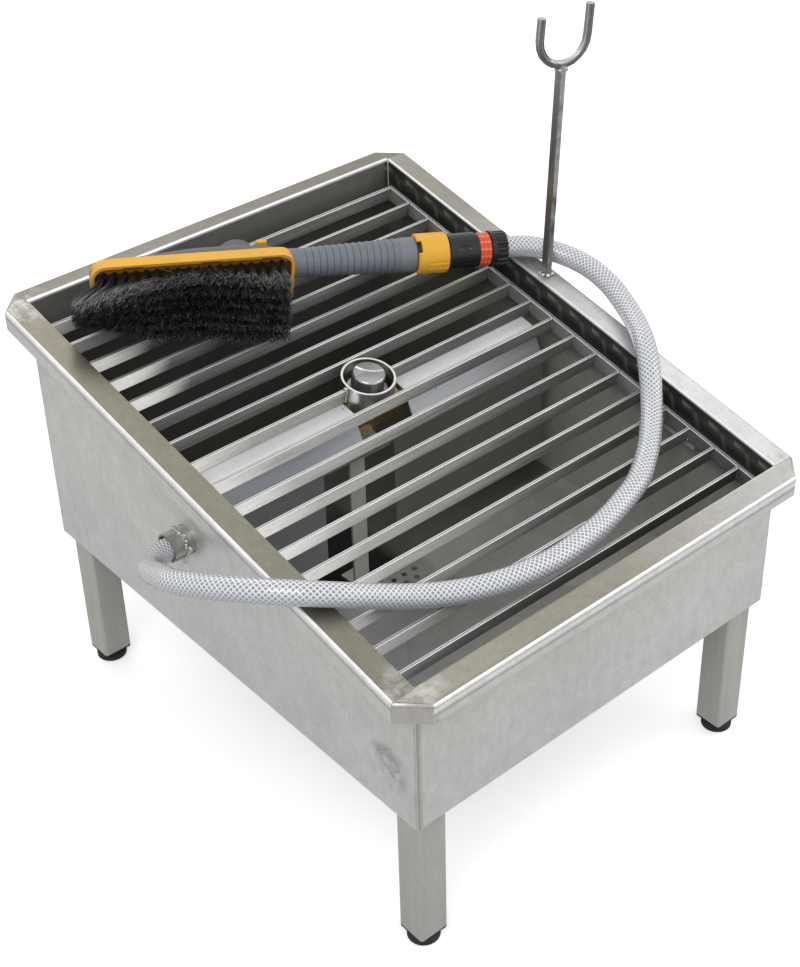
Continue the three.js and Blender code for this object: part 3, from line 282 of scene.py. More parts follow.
class TubShade(Shade):
    """The tub's sheet, with the values that its parts are told apart by."""

    def __init__(self):
        super().__init__("wall_steel")
        self.x, self.y, self.z = (self.along(axis, SHIFT) for axis in (ALONG, ACROSS, ABOVE))
        self.height, self.rise = self.along(UP, RIM_START), self.along(RISE, RIM_START)
        self.depth = self.times(self.height, -1.0)
        self.up = self.facing(UP)
        self.past_x = self.minus(self.size(self.x), TUB_X)
        self.past_y = self.minus(self.size(self.y), TUB_Y)
        self.past = self.most(self.past_x, self.past_y)
        self.back = self.span(self.y, 0.02, 0.14)
        self.top = self.span(self.up, 0.96, 0.98)

    def outside(self):
        """Pale walls with a darker seam at the front left corner and painted shade along its bend, and
        painted highlights in the bends with lines of painted shade beside them.
        """
        facing_side, facing_front = self.facing(ALONG), self.facing(ACROSS)
        low = self.span(self.z, 0.16, 0.28, 1.0, 0.0)
        colour = self.mix(low, (0.79, 0.79, 0.765), (0.765, 0.765, 0.75))
        # Painted shade: a dark line at the foot of the rim's bends
        colour = self.shade(colour, self.band(self.up, 0.215, 0.24, 0.27, 0.31), (0.20, 0.195, 0.18))
        # A dark seam line at the front left corner, with painted shade along the corner's bend
        front_seam = self.times(self.band(self.x, -0.2128, -0.2122, -0.2112, -0.2060),
                                self.span(facing_front, -0.5, -0.9))
        side_seam = self.times(self.span(self.y, -0.2652, -0.2658), self.span(facing_side, -0.5, -0.9))
        seams = self.times(self.most(front_seam, side_seam), self.span(self.up, 0.22, 0.19))
        colour = self.shade(colour, seams, (0.36, 0.345, 0.315))
        # Painted highlight in the rim's bends, duller on the cut-off corners
        corner = self.span(self.math("MINIMUM", self.past_x, self.past_y), 0.0, 0.0012)
        bend_highlight = self.mix(corner, (1.0, 1.0, 1.0), (0.50, 0.48, 0.43))
        colour = self.mix(self.band(self.up, 0.26, 0.36, 0.90, 0.97), colour, bend_highlight)
        # Painted shade: a dark line where the bends meet the rim's top
        return self.shade(colour, self.span(self.up, 0.93, 0.955), (0.17, 0.155, 0.125))

    def rim_top(self, colour):
        """Dull warm tops with painted light: darker on the left and back rims, a painted highlight on the
        right rim toward the front; rubbed at three corners; painted highlights along two inner edges.
        """
        # Painted light: each rim's tone follows how light falls on it, darker on the left and back rims
        right, across = self.span(self.x, 0.0, 0.2), self.span(self.past_y, 0.0, 0.002)
        crown = self.mix(right, (0.29, 0.27, 0.222), (0.40, 0.385, 0.335))
        crown = self.mix(across, crown, self.mix(self.back, (0.38, 0.355, 0.30), (0.26, 0.245, 0.21)))
        # Painted highlight on the right rim toward the front
        painted_highlight = self.times(right, self.span(self.y, 0.16, -0.06),
                            self.span(self.past_y, 0.0, 0.002, 1.0, 0.6))
        crown = self.mix(painted_highlight, crown, (0.88, 0.88, 0.87))
        rubbed = self.span(self.noise(self.stretched((60, 60, 60)), 1.0, 5, 0.75), 0.42, 0.66)
        for place in ((-0.219, -0.266, 0.316), (-0.219, 0.266, 0.4229), (0.219, -0.266, 0.316)):
            crown = self.mix(self.times(self.near(spot(*place), 0.034), rubbed), crown, (0.62, 0.61, 0.575))
        colour = self.mix(self.top, colour, crown)
        # Painted highlights along the inner edges of the right and back rims
        right_highlight = self.times(self.band(self.minus(self.x, TUB_X), -0.001, 0.0, 0.0020, 0.0032),
                                self.span(self.past_y, 0.0, 0.001, 1.0, 0.0))
        back_highlight = self.times(self.band(self.minus(self.y, TUB_Y), -0.001, 0.0, 0.0030, 0.0048),
                               self.span(self.past_x, 0.0, 0.001, 1.0, 0.0))
        return self.shade(colour, self.times(self.most(right_highlight, back_highlight), self.top), (1.0, 1.0, 1.0))

    def inside(self):
        """The inner faces: painted shade, with a painted reflection of the bars as soft outlines along the
        right one, and a painted highlight along the top edge.
        """
        depth = self.depth
        wander = self.noise(self.here, 14.0, 3, 0.6)
        # Painted shade on the inner faces
        deep = self.mix(self.back, (0.42, 0.415, 0.39), (0.15, 0.147, 0.135))
        painted_shade = self.mix(self.span(depth, 0.003, 0.05), (0.20, 0.198, 0.182), deep)
        # Painted reflection on the right inner face, with the bars mirrored as soft outlines
        painted_reflection = self.mix(wander, (0.018, 0.018, 0.017), (0.05, 0.049, 0.046))
        deep = self.mix(self.back, (0.46, 0.45, 0.41), (0.19, 0.185, 0.165))
        painted_reflection = self.mix(self.span(depth, 0.02, 0.06), painted_reflection, deep)
        bars_passed = self.math("DIVIDE", self.rise, BAR_PITCH)
        cell = self.cycle(self.plus(bars_passed, self.times(depth, 16.0), self.times(wander, 0.5)))
        upright = self.times(self.band(cell, 0.36, 0.45, 0.48, 0.62),
                             self.span(depth, 0.0082, 0.0105), 0.45)
        level = self.times(self.band(depth, 0.0056, 0.0080, 0.0096, 0.0125), self.span(cell, 0.50, 0.85))
        haze = self.times(self.span(depth, 0.0086, 0.0096), self.span(depth, 0.02, 0.018),
                          self.span(wander, 0.3, 0.7))
        painted_reflection = self.mix(haze, painted_reflection, (0.055, 0.053, 0.048))
        bar_reflection = self.times(self.most(upright, level), self.span(depth, 0.026, 0.02))
        painted_reflection = self.mix(bar_reflection, painted_reflection, (0.24, 0.23, 0.20))
        within = self.mix(self.span(self.x, 0.205, 0.21), painted_shade, painted_reflection)
        # Painted highlight along the top edge of the inner faces
        return self.mix(self.span(depth, 0.0008, 0.0022, 1.0, 0.0), within, (0.95, 0.95, 0.94))

    def skirt(self, colour):
        """A painted highlight and a line of painted shade under the rim's bend, left out on the cut-off
        corners.
        """
        straight = self.most(self.size(self.facing(ALONG)), self.size(self.facing(ACROSS)))
        skirt = self.times(self.span(self.past, 0.020, 0.0215), self.span(self.up, 0.5, 0.3),
                           self.span(straight, 0.88, 0.96))
        # Painted highlight under the bend, then a line of painted shade
        painted_highlight = self.band(self.height, -0.0050, -0.0034, -0.0005, 0.001)
        colour = self.shade(colour, self.times(skirt, painted_highlight), (1.0, 1.0, 1.0))
        painted_shade = self.band(self.height, -0.0090, -0.0072, -0.0062, -0.0052)
        return self.shade(colour, self.times(skirt, painted_shade, 0.55), (0.36, 0.35, 0.33))

    def marks(self, colour):
        """The scratched smudge on the left wall, and three specks on the rim."""
        blotch = self.span(self.noise(self.here, 60.0, 4, 0.7), 0.40, 0.60, 0.0, 0.62)
        smudge = self.times(self.near(spot(LEFT_FACE, -0.230, 0.208), 0.027), blotch)
        falling, rising = (self.cycle(self.times(self.plus(self.times(self.y, lean), self.z), 230.0))
                           for lean in (0.75, -0.55))
        scratches = self.most(self.span(falling, 0.86, 0.96), self.span(rising, 0.88, 0.97))
        smudge = self.times(smudge, self.span(scratches, 0.0, 1.0, 1.0, 0.15))
        colour = self.shade(colour, smudge, (0.22, 0.22, 0.21))
        for place, reach in (
            ((0.172, -0.279, 0.3135), 0.0016), ((0.105, -0.281, 0.3131), 0.0012),
            ((-0.226, -0.15, 0.339), 0.0013),
        ):
            colour = self.shade(colour, self.near(spot(*place), reach), (0.02, 0.02, 0.02))
        return colour


def make_wall_steel():
    """Tub sheet: light outside, duller on the rim's top, with painted highlights in its bends and painted
    shade inside.
    """
    s = TubShade()
    within = s.times(s.span(s.past, 0.0006, 0.0011, 1.0, 0.0), s.span(s.up, 0.4, 0.7, 1.0, 0.0))
    colour = s.mix(within, s.rim_top(s.outside()), s.inside())
    s.put("Metallic", s.math("ADD", s.span(s.up, 0.3, 0.5, 0.55, 0.95), s.times(within, -0.35), clamp=True))
    return s.satin(s.marks(s.skirt(colour)), 0.36, (1, 1, 0.6), speckle=0.11, scuff=0.09)


def make_bar_steel(name, cross):
    """Drawn flat bar: painted highlights along the edges of its top with painted shade between them, and
    faces painted lighter to the left and at the left ends.
    """
    s = Shade(name)
    x, height, rise = s.along(ALONG, SHIFT), s.along(UP, RIM_START), s.along(RISE, RIM_START)
    # Painted light: the faces are painted lighter to the left and at the left ends of the bars
    front = s.span(rise, 0.300, 0.325, 1.0, 0.0)
    lit_ends = s.times(s.span(x, -0.195, -0.135, 1.0, 0.0), s.most(front, s.span(rise, 0.37, 0.40)))
    left = s.most(s.times(s.span(x, -0.26, 0.10, 1.0, 0.0), front), lit_ends)
    drawn = s.noise(s.stretched((14, 500, 500)), 1.0, 4, 0.6)
    left = s.math("ADD", left, s.span(drawn, 0.3, 0.7, -0.14, 0.14), clamp=True)
    face = s.mix(left, (0.22, 0.22, 0.21), (0.58, 0.57, 0.535))
    face = s.mix(lit_ends, face, (0.88, 0.875, 0.84))
    # Painted shade on the faces of the bars nearest the front rim
    face = s.shade(face, s.span(rise, 0.12, 0.03, 0.0, 0.82), (0.08, 0.08, 0.078))
    worn = s.span(s.noise(s.stretched((30, 260, 260)), 1.0, 5, 0.7), 0.58, 0.74, 0.0, 0.45)
    face = s.shade(face, worn, (0.13, 0.128, 0.12))
    if cross:
        row = s.cycle(s.plus(s.math("DIVIDE", s.minus(rise, BACK_BAR), BAR_PITCH), 16.5))
        middle = s.times(s.size(s.minus(row, 0.5)), BAR_PITCH)
    else:
        middle = s.size(s.minus(s.size(x), SIDE_BAR_X))
    # Painted highlights along the edges of the top, with painted shade down its middle
    crown = s.mix(s.span(middle, 0.0004, 0.0007), (0.30, 0.30, 0.285), (1.0, 1.0, 1.0))
    top = (height, -0.0208, -0.0203)
    colour = s.mix(s.span(*top), face, crown)
    s.put("Metallic", s.most(s.span(*top, 0.0, 0.75), s.span(left, 0.0, 1.0, 0.6, 0.5)))
    lean = s.times(s.span(*top, 1.0, 0.0), s.span(left, 0.0, 1.0, 0.5, 1.5))
    return s.satin(colour, 0.40, (0.03, 1, 1) if cross else (1, 0.03, 1), speckle=0.14, scuff=0.3,
                   normal=s.tipped(UP, lean))


def make_guard_steel():
    """Splash guard: a painted highlight on the lip, a painted reflection on the slant, and painted shade on
    an apron that darkens away from the left.
    """
    s = Shade("guard_steel", Metallic=0.3)
    x, z = s.along(ALONG, SHIFT), s.along(ABOVE, SHIFT)
    # Painted shade and reflection: the apron darkens away from the left
    apron = s.mix(s.span(x, -0.07, 0.02), (0.31, 0.32, 0.33), (0.20, 0.192, 0.175))
    apron = s.mix(s.span(x, 0.0, 0.14), apron, (0.24, 0.235, 0.225))
    # Painted reflection of the sky on the slant, with painted shade to the right
    slant = s.mix(s.span(x, -0.09, 0.03), (0.62, 0.655, 0.71), (0.90, 0.93, 0.98))
    slant = s.shade(slant, s.span(x, 0.10, 0.18, 0.0, 0.45), (0.25, 0.25, 0.25))
    colour = s.mix(s.span(z, 0.3060, 0.3085), apron, slant)
    # Painted highlight along the lip, with a line of painted shade at its edge
    colour = s.mix(s.span(z, 0.3365, 0.3375), colour, (0.97, 0.985, 1.0))
    colour = s.shade(colour, s.band(z, 0.3355, 0.3362, 0.3372, 0.3380), (0.45, 0.42, 0.36))
    drip = s.span(s.noise(s.stretched((160, 160, 60)), 1.0, 2, 0.5), 0.74, 0.77, 0.0, 0.7)
    colour = s.shade(colour, drip, (0.12, 0.11, 0.10))
    return s.satin(colour, 0.34, (0.05, 1, 1), speckle=0.05, scuff=0.15)


def make_pan_steel():
    """Sloping floor: grey under the front bars with painted light that changes across it, and painted shade
    nearly black behind the splash guard.
    """
    s = Shade("pan_steel", Metallic=0.6)
    x, y = s.along(ALONG, SHIFT), s.along(ACROSS, SHIFT)
    # Painted light: the tone changes from left to right with how much light reaches the floor
    colour = s.mix(s.span(x, -0.16, -0.02), (0.60, 0.62, 0.635), (0.52, 0.52, 0.495))
    colour = s.mix(s.span(x, 0.02, 0.15), colour, (0.64, 0.63, 0.59))
    # Painted shade behind the splash guard, nearly black behind its door
    shade_behind = s.mix(s.span(x, -0.110, -0.085), (0.50, 0.515, 0.53), (0.016, 0.016, 0.016))
    shade_behind = s.mix(s.most(s.span(x, 0.003, 0.02), s.span(y, 0.09, 0.15)), shade_behind, (0.17, 0.165, 0.148))
    colour = s.mix(s.span(y, 0.006, 0.016), colour, shade_behind)
    return s.satin(colour, 0.42, scuff=0.35)


def make_ring_steel():
    """Turned tube: painted shade to the back left, with a painted highlight streak and a painted highlight
    along the top edge.
    """
    s = Shade("ring_steel", Metallic=1.0)
    height = s.along(UP, RIM_START)
    side = s.facing(Vector((-0.74, 0.67, 0)))
    # Painted shade to the back left, a painted highlight streak and a painted highlight on the top edge
    colour = s.mix(s.span(side, -1.0, 1.0), (0.62, 0.61, 0.58), (0.30, 0.30, 0.285))
    colour = s.shade(colour, s.band(side, 0.1, 0.35, 0.5, 0.8), (0.86, 0.85, 0.82))
    colour = s.mix(s.span(height, -0.0178, -0.0172), colour, (0.88, 0.88, 0.85))
    return s.satin(colour, 0.32, scuff=0.25)


def make_rod_steel(name, low, high, axis):
    """Drawn round steel: dark, with painted highlight streaks along the side that faces an axis and on its
    top.
    """
    s = Shade(name, Metallic=0.85)
    side, up = s.facing(axis), s.facing(ABOVE)
    wander = s.noise(s.here, 30.0, 3, 0.6)
    side = s.plus(side, s.span(wander, 0.3, 0.7, -0.12, 0.12))
    # Painted shade and highlights by which way the surface faces: dark on the far side, bright streaks and
    # a lighter top
    colour = s.mix(s.span(side, -0.9, 0.9), low, tuple(0.5 * (a + b) for a, b in zip(low, high)))
    colour = s.shade(colour, s.band(side, 0.25, 0.42, 0.50, 0.68), high)
    colour = s.shade(colour, s.band(side, -0.72, -0.62, -0.58, -0.48), tuple(0.7 * c for c in high))
    colour = s.shade(colour, s.span(up, 0.35, 0.75, 0.0, 0.8), high)
    return s.satin(colour, 0.30, (1, 1, 0.05), speckle=0.22, scuff=0.15)


def make_chrome():
    """Polished button: a painted reflection, dark on the top with a pale curl, painted highlight streaks on
    the sides, and painted shade in its small hole.
    """
    s = Shade("chrome", Metallic=0.8)
    centre = SLOPE @ Vector((VALVE_X, 0.30733, -0.0102))
    leftward, backward = Vector((-0.74, 0.67, 0)).normalized(), Vector((0.67, 0.74, 0)).normalized()
    up, left = s.facing(UP), s.facing(leftward)
    run, back = s.along(leftward, centre), s.along(backward, centre)
    # Painted reflection: a dark top with a pale curl, and sides with painted highlight streaks
    top = s.mix(s.span(run, -0.014, 0.014), (0.33, 0.34, 0.33), (0.17, 0.18, 0.17))
    curl = s.size(s.minus(back, s.times(run, run, 34.0)))
    top = s.shade(top, s.span(curl, 0.0006, 0.0016, 0.85, 0.0), (0.75, 0.76, 0.74))
    top = s.shade(top, s.span(back, -0.003, -0.012, 0.0, 0.5), (0.62, 0.64, 0.62))
    side = s.mix(s.span(left, -0.9, 0.9), (0.60, 0.61, 0.60), (0.24, 0.245, 0.24))
    side = s.shade(side, s.band(left, -0.62, -0.45, -0.38, -0.2), (0.80, 0.80, 0.78))
    side = s.shade(side, s.band(left, 0.62, 0.74, 0.82, 0.95), (0.45, 0.46, 0.45))
    colour = s.mix(s.span(up, 0.35, 0.8), side, top)
    # Painted shade in the small hole
    hole_shade = s.near(centre + Vector((0.0068, 0.0074, 0.0012)), 0.0013)
    colour = s.shade(colour, hole_shade, (0.005, 0.005, 0.005))
    fine = s.noise(s.here, 900.0, 3, 0.6)
    stain = s.span(s.noise(s.here, 160.0, 4, 0.7), 0.55, 0.75, 0.0, 0.25)
    s.put("Base Color", s.shade(colour, stain, (0.1, 0.1, 0.1)))
    s.put("Roughness", s.span(fine, 0.3, 0.7, 0.10, 0.17))
    s.put("Normal", s.bump(fine, 0.1, 0.004 * MM))
    return s.mat


def tray_form(s, colour):
    """Dark red slots in the tray, and painted shade on the tray floor between the tufts."""
    run, out, side = (s.along(axis, BRUSH_PLACE) for axis in (BRUSH_X, BRUSH_Y, BRUSH_Z))
    away = s.size(side)
    slots = s.plus(s.band(run, -0.1660, -0.1656, -0.1476, -0.1472),
                   s.band(run, -0.0949, -0.0945, -0.0765, -0.0761),
                   s.band(run, -0.0388, -0.0384, -0.0204, -0.0200))
    slots = s.times(s.band(away, 0.0279, 0.0282, 0.0291, 0.0294), slots)
    colour = s.shade(colour, slots, (0.16, 0.018, 0.006))
    # Painted shade on the tray floor between the tufts
    floor = s.span(out, -0.0212, -0.0203)
    colour = s.shade(colour, s.times(floor, s.span(away, 0.0270, 0.0230, 0.0, 0.5)), (0.16, 0.07, 0.01))
    return s.shade(colour, s.times(floor, s.span(side, 0.0205, 0.0190, 0.0, 0.85)), (0.03, 0.016, 0.006))


def ring_form(s, colour):
    """Paler raised ribs along the lock ring."""
    out, side = s.along(BRUSH_Y, BRUSH_PLACE), s.along(BRUSH_Z, BRUSH_PLACE)
    turn = s.cycle(s.times(s.math("ARCTAN2", side, out), 14 / (2 * math.pi)))
    return s.shade(colour, s.band(turn, 0.36, 0.42, 0.58, 0.64), (0.98, 0.30, 0.16))


def grip_form(s, colour):
    """Painted shade in the grooves of the ribbed grip, its lighter end collar, and a painted shadow on the
    end behind it.
    """
    run = s.along(BRUSH_X, BRUSH_PLACE)
    # Painted shade in the grooves between the ribs
    beat = s.cycle(s.math("DIVIDE", s.minus(run, 0.0078), 0.006514))
    groove_shade = s.most(s.span(beat, 0.0, 0.16, 1.0, 0.0), s.span(beat, 0.93, 1.0))
    ribbed = s.band(run, 0.0070, 0.0078, 0.0985, 0.0995)
    colour = s.shade(colour, s.times(groove_shade, ribbed, 0.8), (0.03, 0.034, 0.04))
    colour = s.shade(colour, s.band(run, 0.1000, 0.1010, 0.1148, 0.1153), (0.20, 0.225, 0.25))
    # Painted shadow on the end where it meets the sleeve
    return s.shade(colour, s.span(run, 0.1150, 0.1156), (0.02, 0.021, 0.023))


YELLOW = (0.93, 0.485, 0.045)
weld_steel = steel("weld_steel", (0.66, 0.66, 0.64), 0.34, speckle=0.3)
corners = ("front_left", "front_right", "back_left", "back_right")
legs, leg_caps, feet = ([f"{kind}_{c}" for c in corners] for kind in ("leg", "leg_cap", "foot"))
bars = [n for n in nodes if n.startswith("grate_bar")]
side_bars = ["grate_side_left", "grate_side_right"]

# Each CAD part gets its material
for material, names in (
    (make_wall_steel(), ["wall_front", "wall_back", "wall_left", "wall_right"]),
    (make_bar_steel("bar_steel", True), bars),
    (make_bar_steel("frame_steel", False), side_bars),
    (make_guard_steel(), ["splash_guard"]),
    (make_ring_steel(), ["valve_ring", "valve_collar"]),
    (make_chrome(), ["valve_button"]),
    (steel("leg_steel", (0.60, 0.595, 0.56), 0.38, (1, 1, 0.05), metallic=0.5), legs),
    (make_rod_steel("rod_steel", (0.10, 0.098, 0.088), (0.72, 0.72, 0.69), Vector((-0.77, 0.64, 0))),
     ["brush_hook"]),
    (make_rod_steel("pipe_steel", (0.20, 0.20, 0.185), (0.66, 0.66, 0.635), Vector((0, -0.64, 0.77))),
     ["hose_socket"]),
    (steel("bracket_steel", (0.78, 0.78, 0.76), 0.36, metallic=0.6), ["valve_bracket"]),
    (make_pan_steel(), ["floor_pan", "drain_outlet"]),
    (steel("brass", (0.66, 0.49, 0.24), 0.36, speckle=0.3, scuff=0.4, metallic=0.7),
     ["valve_body", "supply_pipe"]),
    (plastic("yellow", YELLOW, 0.40, 0.12), ["brush_sleeve", "brush_latch"]),
    (plastic("tray_yellow", YELLOW, 0.40, 0.12, form=tray_form), ["brush_frame"]),
    (plastic("black_plastic", (0.008, 0.0085, 0.010), 0.26, 0.12, grain_depth=0.01 * MM),
     ["hose_connector", "hose_nut", "bristles"]),
    (plastic("grip_grey", (0.180, 0.206, 0.232), 0.45, 0.25, form=grip_form), ["brush_handle"]),
    (plastic("body_grey", (0.118, 0.126, 0.134), 0.48, 0.15), ["brush_body", "brush_knob"]),
    (plastic("orange", (0.82, 0.105, 0.040), 0.42, 0.1, form=ring_form), ["lock_ring"]),
    (plastic("rubber", (0.012, 0.012, 0.012), 0.65), leg_caps + feet + ["hose_inner"]),
):
    for name in names:
        nodes[name].data.materials.clear()
        nodes[name].data.materials.append(material)


def piece(name, verts, faces, material):
    mesh = bpy.data.meshes.new(name)
    mesh.from_pydata([tuple(v) for v in verts], [], faces)
    mesh.materials.append(material)
    return show(name, mesh)


def rings_of(path, radius, sides):
    """Rings of points round a path, with no twist from one to the next."""
    befores, afters = [path[0], *path[:-1]], [*path[1:], path[-1]]
    tangents = [(after - before).normalized() for before, after in zip(befores, afters)]
    side = tangents[0].orthogonal().normalized()
    rings = []
    for p, t in zip(path, tangents):
        side = (side - t * side.dot(t)).normalized()
        other = t.cross(side)
        rings.append([p + (side * math.cos(a) + other * math.sin(a)) * radius
                      for a in (2 * math.pi * k / sides for k in range(sides))])
    return rings


def smooth_path(points, step):
    """A centripetal Catmull-Rom curve through the points, sampled about every step metres."""
    pts = [points[0] * 2 - points[1], *points, points[-1] * 2 - points[-2]]
    out = []
    for i in range(1, len(pts) - 2):
        p = pts[i - 1:i + 3]
        t = [0.0]
        for a, b in zip(p, p[1:]):
            t.append(t[-1] + max((b - a).length, 1e-6) ** 0.5)
        count = max(1, round((p[2] - p[1]).length / step))
        for k in range(count):
            u = t[1] + (t[2] - t[1]) * k / count
            a1 = p[0] * ((t[1] - u) / (t[1] - t[0])) + p[1] * ((u - t[0]) / (t[1] - t[0]))
            a2 = p[1] * ((t[2] - u) / (t[2] - t[1])) + p[2] * ((u - t[1]) / (t[2] - t[1]))
            a3 = p[2] * ((t[3] - u) / (t[3] - t[2])) + p[3] * ((u - t[2]) / (t[3] - t[2]))
            b1 = a1 * ((t[2] - u) / (t[2] - t[0])) + a2 * ((u - t[0]) / (t[2] - t[0]))
            b2 = a2 * ((t[3] - u) / (t[3] - t[1])) + a3 * ((u - t[1]) / (t[3] - t[1]))
            out.append(b1 * ((t[2] - u) / (t[2] - t[1])) + b2 * ((u - t[1]) / (t[2] - t[1])))
    out.append(pts[-2])
    return out


HOSE_WIDTH = 0.021
HOSE_SIDES = 40
HOSE_STEP = 0.0012
BRAID_ROUND, BRAID_PITCH = 13.0, 0.0048
# The route of part.mjs, in millimetres of the stand's frame
HOSE_ROUTE = [
    (-224.8, 36.8, 284.4), (-230.6, 36.7, 284.4), (-239.2, 34.9, 285.0), (-252.8, 27.8, 287.6),
    (-264.3, 16.0, 292.6), (-271.5, -0.6, 301.3), (-276.6, -17.5, 312.0), (-281.4, -34.5, 321.5),
    (-283.3, -51.8, 329.5), (-281.1, -68.0, 335.8), (-271.6, -98.4, 345.8), (-256.9, -126.8, 352.1),
    (-235.5, -151.3, 352.8), (-208.2, -168.7, 346.2), (-179.6, -179.6, 335.1), (-150.8, -189.5, 324.9),
    (-121.2, -202.5, 319.2), (-90.7, -214.8, 317.3), (-59.3, -222.4, 316.1), (-26.4, -225.7, 315.4),
    (6.8, -224.5, 316.1), (39.4, -219.9, 316.8), (71.3, -212.0, 318.3), (102.4, -201.3, 320.1),
    (130.9, -184.6, 323.3), (157.2, -164.8, 326.8), (181.0, -143.5, 334.4), (200.0, -122.1, 351.6),
    (217.9, -98.3, 363.2), (234.1, -72.2, 366.9), (247.0, -43.6, 371.6), (255.7, -13.1, 377.9),
    (256.5, 18.7, 384.2), (245.4, 48.8, 390.4), (223.0, 71.9, 396.2), (207.5, 79.2, 397.4),
    (194.0, 85.6, 398.7),
]


def hose_material():
    """Clear PVC over a white diamond braid: U runs round the hose, V is metres along it."""
    s = Shade("hose_clear", Roughness=0.16, IOR=1.5)
    place = s.node("ShaderNodeTexCoord", out="UV")
    around, along = (s.node("ShaderNodeSeparateXYZ", {0: place}, out) for out in ("X", "Y"))

    def threads(lean):
        wave = s.cycle(s.plus(s.times(around, BRAID_ROUND), s.times(along, lean / BRAID_PITCH)))
        return s.span(s.size(s.minus(wave, 0.5)), 0.12, 0.20, 1.0, 0.0)

    braid = s.most(threads(1.0), threads(-1.0))
    fibre = s.noise(s.round_hose((60, 2600, 1)), 1.0, 2, 0.5)
    cloud = s.noise(s.round_hose((3, 30, 1)), 1.0, 3, 0.5)
    # Painted shade on the hose's underside: greyer blue where it faces down
    shaded_under = s.span(s.facing(ABOVE), 0.55, -0.15)
    clear = s.mix(cloud, (0.31, 0.33, 0.385), (0.43, 0.455, 0.51))
    clear = s.mix(shaded_under, clear, (0.38, 0.40, 0.46))
    thread = s.mix(fibre, (0.84, 0.855, 0.885), (0.98, 0.985, 1.0))
    thread = s.mix(shaded_under, thread, (0.58, 0.60, 0.67))
    s.put("Base Color", s.mix(braid, clear, thread))
    s.put("Alpha", s.span(braid, 0.0, 1.0, 0.85, 1.0))
    s.put("Coat Weight", 1.0)
    s.put("Coat Roughness", 0.05)
    s.put("Normal", s.bump(s.times(braid, fibre), 0.35, 0.3 * MM))
    return s.mat


def make_hose():
    """Two lengths that meet on the grate: one runs from the tub to the grate, one from the grate to the
    brush.
    """
    material = hose_material()
    path = smooth_path([SHIFT + Vector(p) * MM for p in HOSE_ROUTE], HOSE_STEP)
    rings = rings_of(path, HOSE_WIDTH / 2, HOSE_SIDES)
    lengths = [0.0]
    for a, b in zip(path, path[1:]):
        lengths.append(lengths[-1] + (b - a).length)
    meeting = spot(0.0068, -0.2245, 0.3161)
    middle = min(range(len(path)), key=lambda i: (path[i] - meeting).length)
    for name, first, last, bodies, bend in (
        ("hose_left", 0, middle, ("tub", "grate"),
         (spot(-0.262, 0.020, 0.290), spot(-0.208, -0.168, 0.346))),
        ("hose_right", middle, len(path) - 1, ("grate", "brush"),
         (spot(0.181, -0.143, 0.334), spot(0.2075, 0.0792, 0.3974))),
    ):
        verts = [v for ring in rings[first:last + 1] for v in ring]
        faces, uvs = [], []
        for i in range(last - first):
            low, high = lengths[first + i], lengths[first + i + 1]
            for k in range(HOSE_SIDES):
                a, b = i * HOSE_SIDES + k, i * HOSE_SIDES + (k + 1) % HOSE_SIDES
                faces.append((a, b, b + HOSE_SIDES, a + HOSE_SIDES))
                near, far = k / HOSE_SIDES, (k + 1) / HOSE_SIDES
                uvs += [(near, low), (far, low), (far, high), (near, high)]
        hose = piece(name, verts, faces, material)
        hose.data.shade_smooth()
        layer = hose.data.uv_layers.new(name="braid")
        for corner, uv in zip(layer.data, uvs):
            corner.uv = uv
        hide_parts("hose")
        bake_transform(hose)


make_hose()

HEAD_LENGTH, HEAD_WIDTH, HEAD_END = 0.187, 0.063, -0.007
TUFT_INSET, TUFT_RADIUS = 0.0072, 0.0018
TUFT_COLUMNS, TUFT_ROWS, TUFT_STRANDS = 18, 6, 112
STRAND_ROOT, STRAND_LENGTH = -0.0203, 0.062
STRAND_SIDES = 3

# Lowest and highest place of the tips across the head, as shares of its width, along the head
TIP_SHARES = (
    (0, 0.04, 0.46), (0.2, -0.09, 0.66), (0.35, -0.26, 0.81),
    (0.55, -0.24, 0.88), (0.75, -0.4, 0.82), (1, -0.44, 0.72),
)


def tips_at(share):
    """Lowest and highest place of the tips across the head, at a share of its length."""
    for (at0, low0, high0), (at1, low1, high1) in zip(TIP_SHARES, TIP_SHARES[1:]):
        if share <= at1:
            mix = (share - at0) / (at1 - at0)
            return HEAD_WIDTH * (low0 + (low1 - low0) * mix), HEAD_WIDTH * (high0 + (high1 - high0) * mix)


def bristle_material():
    """Black strands with painted highlights: paler where the mesh's tone says so and speckled with painted
    glints where its grain does.
    """
    s = Shade("bristle_black", Roughness=0.45)
    tone = s.node("ShaderNodeAttribute", attribute_name="tone", out="Fac")
    grain = s.node("ShaderNodeAttribute", attribute_name="grain", out="Fac")
    fine = s.noise(s.here, 700.0, 2, 0.5)
    # Painted highlights: strands are paler where the tone attribute is higher
    colour = s.mix(tone, (0.004, 0.004, 0.005), (0.60, 0.60, 0.585))
    # Painted glints speckle the strands' ends
    speck = s.times(grain, s.span(s.noise(s.here, 560.0, 2, 0.6), 0.53, 0.61))
    colour = s.mix(speck, colour, (0.52, 0.53, 0.56))
    s.put("Base Color", s.shade(colour, s.span(fine, 0.3, 0.7, 0.0, 0.35), (0.006, 0.006, 0.007)))
    s.put("Specular IOR Level", 0.25)
    return s.mat


